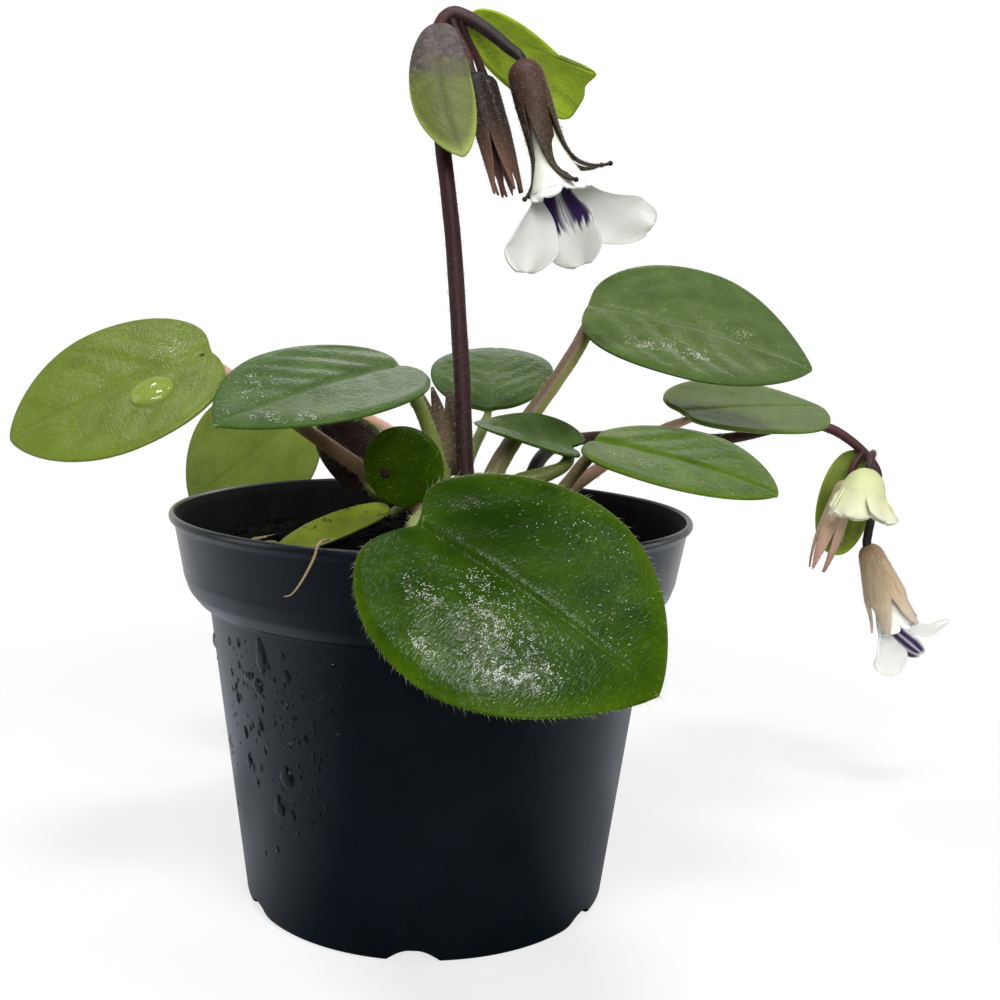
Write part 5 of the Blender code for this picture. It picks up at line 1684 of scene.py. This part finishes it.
BRACT_WOOLLY = bract_finish_with_dark_end()
bract_left = Blade("bract_left", (-1.3, -8.3, 167.8), -56, -69, 36, 26, 11.5, cup=-0.2, arch=0.0, tip=1.35,
                   shoulder=0.7, lobe=0.0, thickness=YOUNG, pitch=4.5, quilt=0.03, bow=-1.6)
bract_right = Blade("bract_right", (4.2, -4.3, 170.2), 36, -26, -72, 29, 11, cup=-0.2, arch=0.1, tip=0.5,
                    shoulder=0.8, lobe=0.0, thickness=YOUNG, pitch=4.5, quilt=0.03,
                    corner=(-0.24, 2.3, 2.5, 0.06))
bract_second = Blade("bract_second", (102.0, 52.9, 86.0), 180, -80, -90, 26, 13.6, cup=-0.1, arch=0.0,
                     tip=0.9, shoulder=0.8, lobe=0.0, thickness=YOUNG, pitch=4.5, quilt=0.03)
count = dress_leaf(bract_left, [BRACT_WOOLLY, BRACT_WOOLLY], "bract_green", 1.2, 120, 40, edge_hair=0.4)
count += dress_leaf(bract_right, [BRACT_FRESH, BRACT_INNER_LIT], "bract_green", 0.8, 120, 40, edge_hair=0.4)
count += dress_leaf(bract_second, [BRACT_FRESH, BRACT_FRESH], "bract_green", 0.3, 120, 40, edge_hair=0.4)
print("hairs on the bracts", count)

# %% [markdown]
# ## The low flower stalk
# The second stalk leaves the crown behind the leaves, runs out over the pot's rim and nods. It carries a
# small cream flower that hangs like a bell, a pink closed calyx, and a flower in a beige calyx whose petals
# have begun to fall away. All three are drawn by the flower rule, and a bract hangs beside them.

# %% Low stalk
LOW_TOP, LOW_AXIS = (103.9, 48.0, 64.6), (9.0, -2.0, -23.5)
BUD_TOP, BUD_AXIS = (98.8, 48.5, 79.8), (-6.8, -0.6, -22.4)
CREAM_TOP, CREAM_AXIS = (100.1, 38.4, 83.9), (-1.4, -0.8, -6.0)
LOW_START = crown_side(25, 76.4, 1.4) * 1000.0
LOW_STATIONS = [tuple(LOW_START), (18.2, 7.4, 78.5), (22.4, 18.0, 86.0), (30.0, 30.0, 88.8),
                (46.9, 41.0, 89.2), (68.9, 51.5, 88.2), (86.1, 53.0, 92.0), (93.9, 52.0, 91.4),
                (100.7, 51.0, 87.5), (105.6, 50.0, 82.0), (105.7, 49.0, 77.0), (104.6, 48.2, 70.0), LOW_TOP]
LOW_RADII = (1.5, 1.45, 1.35, 1.2, 1.05, 1.0, 1.1)
BUD_PEDICEL = [(102.6, 50.8, 86.0), (101.0, 49.4, 84.4), (99.6, 48.7, 82.4), BUD_TOP]
CREAM_PEDICEL = [(104.4, 50.3, 84.2), (103.4, 46.4, 86.0), (101.4, 41.0, 86.2), CREAM_TOP]


def make_low_stalk():
    skins = [stalk_skin(stalk_line(LOW_STATIONS, LOW_AXIS), LOW_RADII, 22, 0.06, 9.0),
             stalk_skin(stalk_line(BUD_PEDICEL, BUD_AXIS), (0.9, 0.85, 0.9, 1.1), 18, 0.06, 10.0),
             stalk_skin(stalk_line(CREAM_PEDICEL, CREAM_AXIS), (0.85, 0.8, 0.9, 1.1), 18, 0.06, 11.0)]
    stalk = add_piece("scape_low_stalk", gathered(skins), [MAROON_STALK], "scape_low")
    fur(stalk, "scape_low_fur", 2000, 0.7, 43, GREY_HAIR, "scape_maroon", radius=0.022, both=False)
    return stalk


print("low stalk faces", len(make_low_stalk().data.polygons))

# %% Flowers of the low stalk
def low_bands(number, across, tube_share, share):
    """Purple bands on the near lobe of the low flower."""
    if number != 0 or (share == 0.0 and tube_share < 0.7):
        return 0.0
    bands = max(math.exp(-((across - c) / 0.30) ** 4) for c in (-0.60, 0.05, 0.66))
    return bands * min(max((1.02 - share) / 0.10, 0.0), 1.0)


dress_calyx("calyx_low", LOW_TOP, LOW_AXIS, 13.0, (2.3, 4.8), five_sepals(8.0, (6, 6, 8, 12, 12), 2.2),
            BEIGE_SEPAL, "calyx_beige", GREY_HAIR, 0.25)
dress_calyx("calyx_bud", BUD_TOP, BUD_AXIS, 11.0, (2.2, 2.9), five_sepals(11.5, (-3, -6, 0, -5, -3), 1.7),
            PINK_SEPAL, "calyx_pink", SILVER_HAIR)
LOW_PETALS = [(90, 12.5, 27, 3.0, -76, -60), (162, 12.5, -4, 4.4, 40, 110), (234, 1.5, 20, 2.4, 0, 0),
              (306, 1.5, 20, 2.4, 0, 0), (18, 12.0, 62, 2.6, 0, -60)]
Flower("corolla_low", from_end(LOW_TOP, LOW_AXIS, FLOWER_SEAT + 3.0), LOW_AXIS, 17.0, (1.2, 4.0),
       LOW_PETALS, petals=True, closed=False, swell=1.5, ripple=0.35).build(
           WHITE_PETAL, "petal_white", 26, 30, 30, low_bands)
CREAM_PETALS = [(18 + 72 * index, 6.8, flare, 5.2, 0, 0) for index, flare in enumerate((34, 22, 8, 10, 30))]
Flower("corolla_cream", from_end(CREAM_TOP, CREAM_AXIS, FLOWER_SEAT), CREAM_AXIS, 5.5, (3.2, 5.0),
       CREAM_PETALS, petals=True, ripple=0.5).build(CREAM_PETAL, "petal_cream", 24, 24, 28)
print("low stalk's flowers made")

# %% [markdown]
# ## The bud cluster
# Woolly brown buds stand in the heart of the rosette. They are drawn by the flower rule too, with blunt
# pointed lobes, and they carry the longest fur on the plant.

# %% Buds
bud_lobes = [(18 + 72 * index, 9.0 + 2.0 * (index % 2), 10, 1.5, 0, 0) for index in range(5)]
buds = Flower("bud_cluster", (CROWN.x - 5.0, CROWN.y + 1.0, CROWN_TOP_Z - 0.4), (-0.28, 0.0, 1.0), 7.0,
              (3.4, 3.4), bud_lobes, wall=0.9).build(BROWN_BUD, "leaf_brown", 12)
fur(buds, "bud_cluster_fur", 1500, 1.3, 51, SILVER_HAIR, "leaf_brown")
print("bud cluster made")
